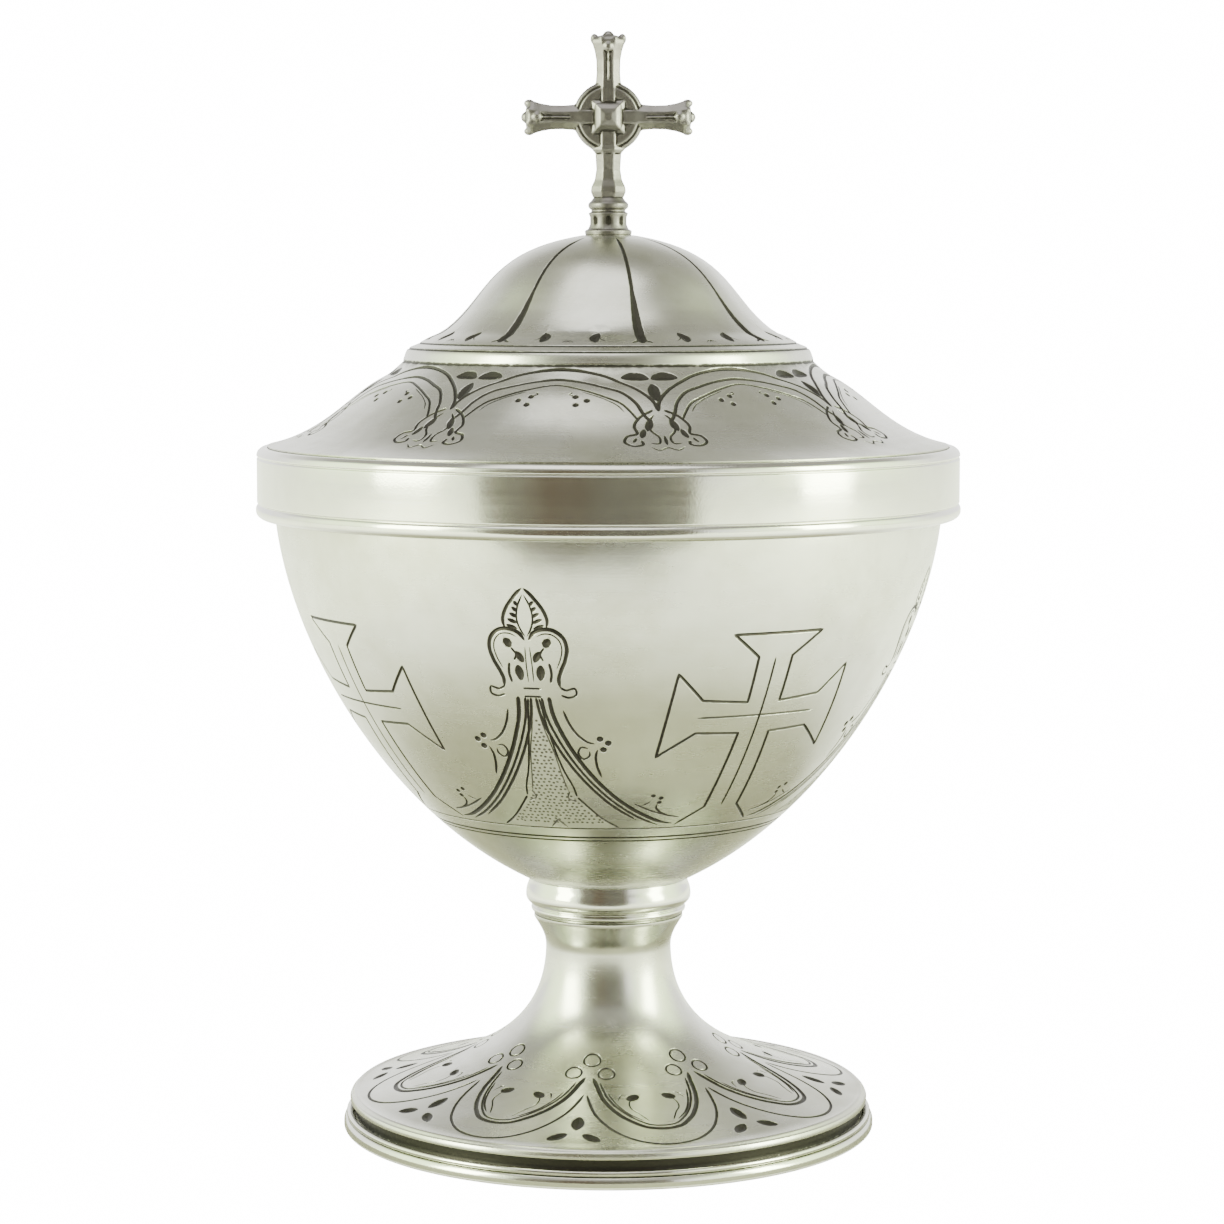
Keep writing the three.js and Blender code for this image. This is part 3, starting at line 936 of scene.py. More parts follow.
def lid_arch(pen):
    """One arch of the arcade round the slope of the lid."""
    outer = [(0, 25.4), (4.4, 25.2), (8.5, 24.6), (12, 23.7), (15, 22.4), (19.8, 19.4), (22, 16.9),
             (22.5, 14.8)]
    inner = [(0, 23), (6, 22.3), (11.3, 20.8), (15.2, 19.4), (18, 16.9), (19.4, 14.1), (20.8, 12.1)]
    third = [(0, 21.4), (6, 20.2), (12, 18.1), (14.7, 16.9), (17, 14.5), (18.2, 12.6)]
    for knots, half in ((outer, 0.38), (inner, 0.36), (third, 0.26)):
        pen.across(knots, half=half, taper=(0.8, 0.8))
    pen.scratches([(6, 19.7), (9, 18.7), (12, 17.5), (14.2, 16.2), (15.6, 14.6)])
    pen.both([(4.2, 19.4), (3.6, 18.9), (4.6, 18.6)], half=0.14, taper=(0.2, 0.2), step=0.2)
    for x, s in ((5, 18.3), (5.3, 16.4), (7.6, 17.4)):
        for side in (-1, 1):
            pen.pit(side * x, s, 0.6, 0.24)


def lid_foot(pen):
    """The leafy foot between two arches, with a drop and two leaves over it."""
    pen.leaves([(0.2, 23.2), (3.2, 23.9), (7.2, 23.5)], half=1.2, depth=0.3, step=0.3)
    pen.line([(0.1, 21.9), (0.1, 17.3)], half=1.15, depth=0.3, leaf=True, step=0.3)
    outer = [(1.1, 15.2), (4.0, 13.6), (5.4, 11.4), (5.0, 9.6), (6.9, 8.9), (7.4, 7.4), (5.7, 6.2),
             (4.2, 6.7), (4.4, 7.9)]
    pen.both(outer, half=0.31, taper=(0.5, 0.3))
    pen.both([(1.0, 14.2), (2.5, 12.4), (2.2, 10.2), (1.0, 8.6), (1.5, 6.9), (3.0, 7.1)], half=0.25)
    pen.leaves([(1.9, 13.2), (3.0, 10.2)], half=0.75, step=0.25)
    pen.leaves([(3.5, 10.8), (4.3, 8.4)], half=0.6, depth=0.25, step=0.25)
    pen.leaves([(5.2, 8.6), (5.9, 7.2)], half=0.32, depth=0.2, step=0.25)
    pen.line([(-3.0, 6.0), (-1.6, 4.9), (0, 5.7), (1.6, 4.9), (3.0, 6.0)], half=0.2)
    pen.line([(0, 9.2), (0, 6.4)], half=0.36, depth=0.2, leaf=True, step=0.25)


def dome_rib(pen):
    """A dark line down the dome that widens to a wedge, with a leaf mark on each side of its foot."""
    pen.line([(0, 60.5), (0, 52), (0, 44)], half=0.36, depth=0.2, taper=(4, 0))
    pen.line([(0, 46), (0, 41), (0, 37), (0, 33.5), (0, 31.4)], half=0.9, depth=0.3, taper=(10, 0.5))
    pen.both([(0.3, 33.0), (1.4, 31.9), (3.4, 31.25)], half=0.28, depth=0.2, taper=(0.4, 0.4))
    pen.leaves([(13.2, 34.6), (14.6, 33.0), (14.0, 31.3)], half=1.0, step=0.3)
    pen.scratches([(10.6, 31.6), (12.4, 32.4), (13.4, 34.9)])
    pen.both([(20.5, 31.1), (22.0, 31.9), (23.5, 31.1)], half=0.16, depth=0.1)


def foot_scallop(pen):
    """One of the hanging swags round the foot, drawn from its lowest point outwards."""
    thick = [(0, 7.15), (4, 7.6), (8, 9.5), (12, 12.3), (16, 16), (19.5, 20.5), (21, 22)]
    rim = [(0, 2.5), (6, 3.3), (11, 5.5), (15, 8.5), (18, 11.5), (20.5, 15), (22, 17.5)]
    for knots, half, aside in ((thick, 0.46, 0), (thick[:-1], 0.25, 0.95), (rim, 0.3, 0)):
        pen.across(knots, half=half, aside=aside, taper=(1.5, 1.5))
    pen.both([(4.6, 9.6), (8.0, 11.6), (11.6, 14.6), (14.6, 18.0)], half=0.2, taper=(1.5, 1.5))
    pen.both([(3.2, 9.4), (5.4, 11.8), (7.6, 13.6), (7.6, 15.4), (6.4, 16.4)], half=0.15)
    pen.leaves([(8.2, 16.0), (4.4, 17.1)], half=0.95, step=0.25)
    pen.both([(11.4, 15.6), (9.6, 17.4), (8.0, 17.2)], half=0.15)


def foot_trefoil(pen):
    """Three open rings where two swags meet, and three drops under them."""
    for x, s, size in ((0, 25.9, 1.35), (7.2, 22.9, 1.3), (-7.2, 22.9, 1.3)):
        reach = math.degrees(size / float(pen.wall.radius(s)))
        turn = np.radians(np.arange(0, 360, 45))
        ring = [(x + reach * math.sin(a), s + size * math.cos(a)) for a in turn]
        pen.line(ring, half=0.22, closed=True)
    pen.line([(0, 10.9), (0, 6.9)], half=1.15, depth=0.3, leaf=True, step=0.3)
    pen.leaves([(1.9, 5.7), (6.2, 3.7)], half=1.05, depth=0.3, step=0.3)


# ---------------------------------------------------------------- pieces of the base

def foot_shell():
    """The flare and the neck in one sheet, with a thickened edge and an engraved border."""
    room = Room("foot_shell")
    flare = bend(room.at(-0.05, 0.7), room.at(12.2, 5.2), room.at(32.15, 6.9), room.at(32.35, 25.2))
    throat = bend(room.at(32.35, 25.2), room.at(32.35, 27.2), room.at(31.3, 28.6), room.at(30.4, 30.1))
    wall = Wall(np.vstack([flare, throat[1:]]), [(0.85, 0.85, 0.36, 0.0)], ease=0.8)
    folds = 8
    turned_to = math.radians(-8)
    border_start, border_end = 1.6, 28.4
    trefoil = Pen(wall, 0, degrees=True)
    foot_trefoil(trefoil)
    swag = Pen(wall, 180 / folds, degrees=True)
    foot_scallop(swag)
    skin = Skin(turned_to - math.pi / folds)
    skin.grid(wall, 0, border_start, 0.2)
    skin.engraved(wall, folds, border_start, border_end, [trefoil, swag])
    skin.grid(wall, border_end, wall.length, 0.8)
    top = [room.at(30.4, 30.6), room.at(31.2, 30.6)]
    inner = inner_side(wall, SHEET, wall.length - 0.6, 0.8)
    edge = [room.at(0.8, 0.1), room.at(0.6, -0.28), room.at(0.05, -0.3), room.at(-0.19, -0.15),
            room.at(-0.23, 0.3)]
    skin.lining(np.vstack([wall.points[-1:], top, inner, edge, wall.points[:1]]))
    return skin.build("foot_shell_engraved", "base", ENGRAVED, ["foot_shell"])


def foot_mouldings():
    """A low plinth with a wire on it, and a deep hollow up to the edge of the shell, its colour darkened
    towards the top and the inside as painted shade under the shell's edge.
    """
    room = Room("foot_rim_moulding")
    moulding = room.section(
        (4.5, 0, 0.2), (0.3, 0, 0.2), (0, 0.3, 0.2), (0, 1.35, 0.4), (0.4, 1.95, 0.15),
        (1.5, 1.95, 0.2), (2.0, 2.7, 0.5), (1.9, 4.6, 0.15), (4.0, 4.7, 0.2), (4.5, 1.8, 0.2))
    # Painted shade: the hollow is darkened more than 1.35 mm in from the rim and higher than 2.3 mm up,
    # under the shell's edge.
    far_in = np.clip((room.radius - 1.35 - moulding[:, 0]) / 0.25, 0, 1)
    high_up = np.clip((moulding[:, 1] - room.bottom - 2.3) / 1.5, 0, 1)
    turned_piece("foot_rim_plinth", moulding, "base", POLISHED, ["foot_rim_moulding"],
                 grime_and_shade=far_in * high_up)
    bead = Room("foot_rim_bead")
    wire_radius = 0.5
    drop = 0.3
    turn = np.radians(np.arange(-90, 270, 22.5))
    centre = np.array(bead.at(wire_radius, wire_radius - drop))
    wire = centre + wire_radius * np.column_stack([np.cos(turn), np.sin(turn)])
    turned_piece("foot_rim_wire", wire, "base", POLISHED, ["foot_rim_bead"])


def collar():
    """One full round moulding with a fine bead under it, seated close between stem and bowl."""
    room = Room("collar_knop")
    bore = room.radius - STEM_HOLE
    outline = room.section(
        (bore, 0, 0.1), (1.5, -0.26, 0.05), (1.4, 0.05, 0.1), (0.95, 0.3, 0.2), (0.85, 0.8, 0.2),
        (1.2, 1.15, 0.12), (0.75, 1.5, 0.3), (0.08, 2.2, 0.7), (-0.02, 3.0, 0.8), (0.12, 4.1, 0.7),
        (0.5, 5.0, 0.4), (0.62, 5.72, 0.1), (bore, 5.72, 0.1))
    turned_piece("collar_bulge", outline, "base", POLISHED, ["collar_knop"])


def bowl_outline():
    """The bowl's outer side, from the edge of its floor up to its mouth."""
    room = Room("bowl_shell")
    belly = bend(room.at(39.7, 1), room.at(18.5, 12.2), room.at(3.1, 38), room.at(0.6, 59))
    return room, np.vstack([belly, room.at(0.25, 64.8), room.at(0, 67.9)])


def bowl_shell():
    """The bowl: two turned rings low down, and over them the engraved tents and crosses."""
    room, outline = bowl_outline()
    rings = [(17.3, 0.3, -0.13, 1.0), (16.35, 0.26, -0.1, 0.8)]
    wall = Wall(outline, rings, ease=1.5)
    folds = 4
    turned_to = math.radians(8.5)
    rings_start, border_start, border_end = 15.6, 18.3, 68.5
    tents = Pen(wall, -22.5)
    tent(tents)
    tents.line([(-60, 19.7), (60, 19.7)], half=0.2, straight=True, taper=(0, 0), step=1.2)
    crosses = Pen(wall, 22.5)
    cross_pattee(crosses)
    skin = Skin(turned_to - math.pi / folds)
    skin.grid(wall, 0, rings_start, 0.9)
    skin.grid(wall, rings_start, border_start, 0.09)
    skin.engraved(wall, folds, border_start, border_end, [tents, crosses])
    skin.grid(wall, border_end, wall.length, 1.3)
    inner = inner_side(wall, SHEET, wall.length, 1.6)
    rim = [(wall.points[-1, 0] - 0.05, room.top), (inner[0, 0] + 0.1, room.top)]
    floor_low, floor_high = room.bottom, room.bottom + SHEET
    base_radius = room.radius - 41.6
    bottom = [(base_radius - 1.0, floor_high), (0, floor_high), (0, floor_low), (base_radius, floor_low)]
    skin.lining(np.vstack([wall.points[-1:], rim, inner, bottom, wall.points[:1]]))
    return skin.build("bowl_shell_engraved", "base", ENGRAVED, ["bowl_shell"])


def bowl_lining():
    """The gilt cup inside the bowl, and the wire round its mouth."""
    room, outline = bowl_outline()
    wall = Wall(outline, ease=1.5)
    outer = inner_side(wall, SHEET + GAP, 1.8, wall.length - 0.05)
    inner = inner_side(wall, SHEET + GAP + LINER_SHEET, wall.length - 0.05, 2.4)
    bottom = room.bottom + SHEET + GAP
    skin = Skin()
    skin.lining(np.vstack([[(0, bottom)], [(outer[0, 0] - 1.4, bottom)], outer, inner,
                           [(inner[-1, 0] - 1.2, bottom + LINER_SHEET)], [(0, bottom + LINER_SHEET)]]))
    skin.build("bowl_lining", "base", GILDING, ["bowl_gilt_liner"])
    lip = Room("bowl_lip_ring")
    width = 2.0
    height = lip.top - lip.bottom
    outline = lip.section((width, 0, 0.2), (0, 0, 0.2), (0, height, 0.55), (width, height, 0.55))
    turned_piece("bowl_lip_wire", outline, "base", GILDING, ["bowl_lip_ring"])


# ---------------------------------------------------------------- pieces of the lid

def lid_shell():
    """The slope with its arcade, a rounded step with a bead between two lines, and the ribbed dome."""
    room = Room("lid_shell")
    slope = bend(room.at(0, 0.78), room.at(9.7, 2.98), room.at(13.3, 9.28), room.at(19.3, 11.98))
    step = bend(room.at(21.6, 13.68), room.at(22.2, 15.38), room.at(23.9, 17.38), room.at(27.7, 18.78))
    dome = bend(room.at(28.2, 18.98), room.at(35.9, 24.08), room.at(35, 32.08), room.at(51.3, 34.68))
    # Painted reflection: the groove at 28.3, in the middle of the bead, is darkened in colour to give the
    # dark reflection line along the step.
    turnings = [(26.1, 0.5, -0.16, 0.3), (28.2, 1.9, 0.42, 0), (28.3, 0.3, -0.12, 0.5),
                (30.15, 0.3, -0.12, 0.7), (4.5, 0.4, -0.05, 0.18)]
    wall = Wall(np.vstack([slope, step, dome]), turnings, ease=1.0)
    folds = 8
    turned_to = math.radians(10.3)
    arcade_start, arcade_end, dome_start, dome_end = 3.9, 25.8, 30.5, 61.5
    foot = Pen(wall, 0, degrees=True)
    lid_foot(foot)
    arch = Pen(wall, 180 / folds, degrees=True)
    lid_arch(arch)
    rib = Pen(wall, 0, degrees=True)
    dome_rib(rib)
    skin = Skin(turned_to - math.pi / folds)
    skin.grid(wall, 0, arcade_start, 0.2)
    skin.engraved(wall, folds, arcade_start, arcade_end, [foot, arch])
    skin.grid(wall, arcade_end, dome_start, 0.1)
    skin.engraved(wall, folds, dome_start, dome_end, [rib])
    skin.grid(wall, dome_end, wall.length, 0.5)
    inner = inner_side(wall, SHEET, wall.length - 0.5, 0.6)
    hole = room.radius - 53.7
    top = [(hole + 0.4, room.top), (hole, room.top - 0.3), (hole, room.top - SHEET)]
    edge = [room.at(0.6, 0.05), room.at(0.18, 0), room.at(0.04, 0.3)]
    skin.lining(np.vstack([wall.points[-1:], top, inner, edge, wall.points[:1]]))
    return skin.build("lid_shell_engraved", "lid", ENGRAVED, ["lid_shell"])


def lid_band():
    """The deep plain band with a bead at each edge, and the ring inside it that sits on the bowl."""
    room = Room("lid_rim_band")
    inner = 2.0
    outline = room.section(
        (inner, 0.1, 0.2), (0.9, 0, 0.5), (0.0, 0.7, 0.7), (0.0, 1.9, 0.5), (0.45, 2.35, 0.12),
        (0.2, 2.6, 0.12), (0.2, 9.7, 0.1), (0.42, 9.95, 0.1), (0.12, 10.2, 0.15), (0.3, 10.9, 0.3),
        (1.0, 11.5, 0.3), (1.9, 11.48, 0.05), (1.9, 10.7, 0.05), (1.6, 10.4, 0.05), (1.6, 2.2, 0.3),
        (inner, 1.6, 0.2))
    turned_piece("lid_band", outline, "lid", POLISHED, ["lid_rim_band"])
    seat = Room("lid_seat_ring")
    width = seat.radius - Room("bowl_shell").radius + 3.2
    height = seat.top - seat.bottom
    section = seat.section((width, 0, 0.3), (0, 0, 0.1), (0, height, 0.1), (width, height, 0.3))
    turned_piece("lid_seat", section, "lid", POLISHED, ["lid_seat_ring"])


def pedestal():
    """The turned foot of the cross, with eight shallow hollows cut round its drum."""
    room = Room("finial_pedestal")
    bore = room.radius - FINIAL_HOLE
    top = room.top - room.bottom
    outer = room.section(
        (bore, -0.25, 0), (0.35, -0.4, 0.2), (0.25, 0.35, 0.2), (0.8, 0.62, 0.15), (1.05, 1.3, 0.3),
        (1.05, 2.6, 0.3), (0.85, 3.15, 0.15), (1.35, 3.45, 0.15), (1.3, 3.7, 0.1), (0.85, 4.05, 0.3),
        (0.8, 4.7, 0.3), (1.3, 5.15, 0.15), (1.7, top, 0.1))
    hole_end = room.bottom + 4.4
    path = np.vstack([outer, (0, room.top), (0, hole_end), (FINIAL_HOLE, hole_end), outer[:1]])
    skin = Skin()
    skin.lining(path, SMALL_ROUND)
    points = skin.points[0]
    hollows, depth, drum_radius, drum_middle = 8, 0.3, 2.4, room.bottom + 1.95
    drum = np.exp(-((points[:, 2] - drum_middle) / 0.62) ** 2)
    angle = np.arctan2(points[:, 0], -points[:, 1])
    radius = np.hypot(points[:, 0], points[:, 1])
    hollow = np.where(radius > drum_radius, depth * drum * (0.5 + 0.5 * np.cos(hollows * angle)) ** 3, 0)
    points[:, :2] *= (1 - hollow / np.maximum(radius, 0.1))[:, None]
    skin.grime_and_shade[0] = np.clip(hollow / depth, 0, 1) * 0.6
    skin.build("finial_pedestal_turned", "lid", CAST, ["finial_pedestal"])


# ---------------------------------------------------------------- the cast cross

def loft(bm, sections):
    """A closed body through rings of points of equal count."""
    rings = [[bm.verts.new(p) for p in section] for section in sections]
    for low, high in zip(rings, rings[1:]):
        for i in range(len(low)):
            j = (i + 1) % len(low)
            bm.faces.new((low[i], low[j], high[j], high[i]))
    bm.faces.new(rings[0][::-1])
    bm.faces.new(rings[-1])


def eight_sided(wide, deep, height, centre=(0, 0)):
    """An eight-sided ring with a flat to the front; wide is along X, deep along Y."""
    turns = [math.radians(22.5 + 45 * i) for i in range(8)]
    corner = 1 / math.cos(math.radians(22.5))
    x, y = centre
    return [Vector((x + wide * corner * math.cos(a), y + deep * corner * math.sin(a), height))
            for a in turns]


def bud(bm, place, size, stretch=(1, 1, 1)):
    """A small pointed bead of the crown at an arm's tip."""
    steps = 6
    sections = []
    for i in range(steps + 1):
        t = math.pi * (0.06 + 0.88 * i / steps)
        sections.append(eight_sided(size * stretch[0] * math.sin(t), size * stretch[1] * math.sin(t),
                                    place[2] - size * stretch[2] * math.cos(t), place[:2]))
    loft(bm, sections)


def crowned_arm(length):
    """One arm, standing up: a waist, a flare and a crown of buds, with a ridge on its front and back."""
    bm = bmesh.new()
    shape = [(0.5, 2.35, 2.1), (4.2, 2.3, 1.9), (5.4, 2.15, 1.75), (7.2, 2.0, 1.6), (9.2, 2.05, 1.65),
             (10.8, 2.35, 1.85), (12.0, 2.75, 2.05), (12.5, 2.7, 2.0), (12.9, 2.2, 1.7), (13.2, 1.5, 1.2)]
    bud_reach = 1.0
    stretch = length / (shape[-1][0] + bud_reach)
    loft(bm, [eight_sided(wide * 0.95, deep, z * stretch) for z, wide, deep in shape])
    crown = 12.55 * stretch
    bud(bm, (0, 0, crown + 0.45), 0.95, (1, 1, 1.05))
    for side in (-1, 1):
        bud(bm, (side * 2.25, 0, crown + 0.1), 0.66, (1, 1, 1.35))
        bud(bm, (side * 0.95, -1.35, crown - 0.05), 0.62, (1, 1, 1.2))
        bud(bm, (side * 0.95, 1.35, crown - 0.05), 0.62, (1, 1, 1.2))
        bud(bm, (0, side * 1.9, crown - 1.2), 0.55, (1.4, 1, 1.5))
    half, face = 0.28, 1.2
    for side in (-1, 1):
        ridge = [[Vector((x, side * y, z * stretch))
                  for x, y in ((-half, face), (half, face), (0, face + rise))]
                 for z, rise in ((6.0, 0.62), (8.5, 0.68), (11.5, 1.0))]
        loft(bm, ridge if side > 0 else [ring[::-1] for ring in ridge])
    return bm


def lower_arm(length):
    """The arm that stands on the pedestal, hanging down: it flares to a cup."""
    bm = bmesh.new()
    shape = [(0.5, 2.3, 2.1), (4.4, 2.35, 2.0), (5.2, 2.6, 2.2), (5.8, 2.1, 1.85), (8.4, 1.95, 1.75),
             (10.0, 2.2, 2.0), (11.2, 2.75, 2.5), (12.0, 2.85, 2.6), (length, 2.45, 2.3)]
    loft(bm, [eight_sided(w, d, z) for z, w, d in shape])
    return bm


def disc_ring(bm, inner, outer, deep, across=48):
    """A flat ring that faces front and back, chamfered at its rim."""
    profile = [(inner, -deep), (outer - 0.35, -deep), (outer, -deep * 0.45), (outer, deep * 0.45),
               (outer - 0.35, deep), (inner, deep)]
    rings = []
    for i in range(across):
        a = 2 * math.pi * i / across
        rings.append([bm.verts.new((r * math.sin(a), y, r * math.cos(a))) for r, y in profile])
    for here, after in zip(rings, rings[1:] + rings[:1]):
        for i in range(len(profile)):
            j = (i + 1) % len(profile)
            bm.faces.new((here[i], here[j], after[j], after[i]))


def square_boss(bm):
    """A stepped square stud, pointed like a cut stone, on each face of the web."""
    for side in (-1, 1):
        sections = []
        for half, out in ((2.95, 0.4), (2.95, 1.55), (2.7, 1.75), (2.1, 2.15), (2.05, 2.35), (1.35, 2.95),
                          (0.5, 3.2)):
            corners = [(-half, -half), (half, -half), (half, half), (-half, half)]
            ring = [Vector((x, -side * out, z)) for x, z in corners]
            sections.append(ring if side > 0 else ring[::-1])
        loft(bm, sections)


def mesh_of(bm, name, material=None):
    """The finished mesh of what was gathered in bm."""
    mesh = bpy.data.meshes.new(name)
    bm.to_mesh(mesh)
    bm.free()
    if material:
        mesh.materials.append(material)
    return mesh


def merge_into(target, source, matrix):
    """Adds a turned copy of one mesh to another."""
    source.transform(matrix)
    part = mesh_of(source, "part")
    target.from_mesh(part)
    bpy.data.meshes.remove(part)


def cast_cross():
    """Four arms, a round web with a raised middle, and the bosses, fused into one casting."""
    low, high = (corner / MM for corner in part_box("finial_cross"))
    half_span = (high.x - low.x) / 2
    centre = Vector((0, 0, high.z - half_span + 0.3))
    upper = high.z - centre.z
    lower = centre.z - low.z + SEAM
    bm = bmesh.new()
    merge_into(bm, crowned_arm(upper), Matrix.Identity(4))
    merge_into(bm, crowned_arm(half_span), Matrix.Rotation(math.pi / 2, 4, "Y"))
    merge_into(bm, crowned_arm(half_span), Matrix.Rotation(-math.pi / 2, 4, "Y"))
    merge_into(bm, lower_arm(lower), Matrix.Rotation(math.pi, 4, "X"))
    disc_ring(bm, 0.2, 5.75, 1.2)
    disc_ring(bm, 0.2, 5.1, 1.75)
    square_boss(bm)
    bmesh.ops.translate(bm, verts=bm.verts, vec=centre)
    bmesh.ops.recalc_face_normals(bm, faces=bm.faces)
    mesh = fused(mesh_of(bm, "cross_parts"), voxel=0.15)
    soften_casting(mesh)
    mesh.transform(Matrix.Scale(MM, 4))
    mesh.name = "finial_cross_cast"
    mesh.shade_smooth()
    piece = bpy.data.objects.new("finial_cross_cast", mesh)
    finish_piece(piece, "lid", CAST, ["finial_cross"])


def fused(mesh, voxel):
    """One skin round overlapping bodies."""
    source = bpy.data.objects.new("fusing", mesh)
    bpy.context.scene.collection.objects.link(source)
    remesh = source.modifiers.new("remesh", "REMESH")
    remesh.mode = "VOXEL"
    remesh.voxel_size = voxel
    bpy.context.view_layer.update()
    shown = source.evaluated_get(bpy.context.evaluated_depsgraph_get())
    result = bpy.data.meshes.new_from_object(shown)
    bpy.data.objects.remove(source)
    bpy.data.meshes.remove(mesh)
    return result


def smoothed(bm, times):
    """Draws every point half-way to its neighbours' middle, some times over."""
    for _ in range(times):
        bmesh.ops.smooth_vert(bm, verts=bm.verts, factor=0.5,
                              use_axis_x=True, use_axis_y=True, use_axis_z=True)


def soften_casting(mesh):
    """Rounds the edges as a casting's are, and marks as dirty what more smoothing would fill."""
    bm = bmesh.new()
    bm.from_mesh(mesh)
    smoothed(bm, 2)
    bm.normal_update()
    before = {v.index: v.co.copy() for v in bm.verts}
    smoothed(bm, 6)
    hollow = np.array([(v.co - before[v.index]).dot(v.normal) for v in bm.verts])
    for v in bm.verts:
        v.co = before[v.index]
    bm.to_mesh(mesh)
    bm.free()
    clean_up_to, range_of_dirt = 0.004, 0.05
    dirt_and_shade = np.clip((hollow - clean_up_to) / range_of_dirt, 0, 1)
    grime_and_shade = mesh.attributes.new("grime_and_shade", "FLOAT", "POINT")
    grime_and_shade.data.foreach_set("value", dirt_and_shade.astype(np.float32))


# ---------------------------------------------------------------- fixings inside

def threaded_stud(node, name, body, pitch, thread):
    """A screwed rod with rounded-off ends."""
    room = Room(node)
    length = room.top - room.bottom
    rings = 40
    rows = int(length / (pitch / 7))
    heights = np.linspace(0, length, rows)
    angle = np.tile(np.arange(rings) * 2 * math.pi / rings, rows)
    z = np.repeat(heights, rings)
    turn = (z / pitch - angle / (2 * math.pi)) % 1.0
    ridge = np.abs(2 * turn - 1)
    ends = np.clip(np.minimum(z, length - z) / (1.5 * thread), 0, 1)
    radius = room.radius - thread * (1 - ridge) - thread * 1.2 * (1 - ends)
    points = turned_points(angle, radius, room.bottom + z)
    skin = Skin()
    skin.add(points, grid_faces(rows, rings), grime_and_shade=0.8 * (1 - ridge))
    for row, height, flip in ((0, room.bottom, True), (rows - 1, room.top, False)):
        cap = points[row * rings:(row + 1) * rings]
        hub = np.array([[0, 0, height]])
        wheel = np.array([[i, (i + 1) % rings, rings] for i in range(rings)])
        skin.add(np.vstack([cap, hub]), wheel[:, ::-1] if flip else wheel)
    skin.build(name, body, BRASS, [node])


def chamfered_nut(node, name, body, across_flats, hole):
    """A six-sided nut, chamfered top and bottom."""
    low, high = (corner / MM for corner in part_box(node))
    rings = SMALL_ROUND
    bevel = 0.35
    angle = np.arange(rings) * 2 * math.pi / rings
    flat_turn = (angle + math.pi / 6) % (math.pi / 3) - math.pi / 6
    hexagon = across_flats / 2 / np.cos(flat_turn)
    limit = across_flats / 2 * 1.02
    chamfer = (hexagon.max() - limit) * 0.55
    levels = [(low.z, limit), (low.z + chamfer, 99), (high.z - chamfer, 99), (high.z, limit)]
    loop = [(z, np.minimum(hexagon, size)) for z, size in levels]
    middle = [(low.z + chamfer * k / 4, limit + (hexagon.max() - limit) * k / 4) for k in (1, 2, 3)]
    lower = [(z, np.minimum(hexagon, size)) for z, size in middle]
    upper = [(high.z + low.z - z, size) for z, size in reversed(lower)]
    mouth, bore = np.full(rings, hole + bevel), np.full(rings, hole)
    inner = [(high.z, mouth), (high.z - bevel, bore), (low.z + bevel, bore), (low.z, mouth)]
    loop = [loop[0], *lower, loop[1], loop[2], *upper, loop[3], *inner, loop[0]]
    points = np.vstack([turned_points(angle + math.pi / 2, r, z) for z, r in loop])
    skin = Skin()
    skin.add(points, grid_faces(len(loop), rings))
    skin.build(name, body, BRASS, [node], sharp=24)


def fixings():
    """The stud, nut and washer under the bowl, and those under the cross."""
    threaded_stud("stem_stud", "stem_stud_threaded", "base", 0.8, 0.4)
    threaded_stud("finial_stud", "finial_stud_threaded", "lid", 0.5, 0.26)
    chamfered_nut("stem_nut", "stem_nut_hexagon", "base", 9, STEM_HOLE)
    chamfered_nut("finial_nut", "finial_nut_hexagon", "lid", 5.5, FINIAL_HOLE)
    dished = Room("stem_washer")
    bore = dished.radius - STEM_HOLE
    section = dished.section((bore, 1.6, 0.2), (6.8, 1.6, 0.4), (0.6, 0, 0.2), (0, 0.8, 0.2),
                             (6.8, 2.8, 0.4), (bore, 2.8, 0.2))
    turned_piece("stem_washer_dished", section, "base", BRASS, ["stem_washer"],
                 SMALL_ROUND)
    flat = Room("finial_washer")
    bore = flat.radius - FINIAL_HOLE
    section = flat.section((bore, 0, 0.1), (0, 0, 0.15), (0, 0.8, 0.2), (bore, 0.8, 0.15))
    turned_piece("finial_washer_flat", section, "lid", BRASS, ["finial_washer"],
                 SMALL_ROUND)


# ---------------------------------------------------------------- stage

CARD_RADIUS = 6.0
CARD_DROP = 0.0002
SHADOW_POOL_RADIUS = 0.20
SHADOW_POOL_HEIGHT = 0.0005
COVE_RADIUS = 7.0
COVE_GLOW = 16.0
LIT_POINT = (0, 0, 0.09)
ALL_BUT_REFLECTIONS = ("camera", "diffuse", "shadow")


def stage_sheet(name, mesh, height, unseen_by):
    """A surface round the vessel; the kinds of ray that are named pass it by."""
    sheet = bpy.data.objects.new(name, mesh)
    sheet.location.z = height
    for kind in unseen_by:
        setattr(sheet, "visible_" + kind, False)
    bpy.context.scene.collection.objects.link(sheet)


def stage_floor():
    """The round sheet of card that lights the vessel from below; the camera sees white instead."""
    bm = bmesh.new()
    bmesh.ops.create_circle(bm, cap_ends=True, segments=128, radius=CARD_RADIUS)
    mesh = mesh_of(bm, "studio_card", studio_floor())
    stage_sheet("studio_card", mesh, cad_box[0].z - CARD_DROP, ["camera"])


def camera():
    """The photographer's place: a little above the rim of the bowl, looking slightly down."""
    lens = bpy.data.cameras.new("camera")
    lens.lens = 99.0
    lens.sensor_width = 36
    lens.shift_x = 0.003
    lens.clip_start = 0.02
    lens.clip_end = 30
    looking_down = 5.72
    eye = bpy.data.objects.new("camera", lens)
    eye.location = (0, -0.551, 0.1405)
    eye.rotation_euler = (math.radians(90 - looking_down), 0, 0)
    bpy.context.scene.collection.objects.link(eye)
    bpy.context.scene.camera = eye


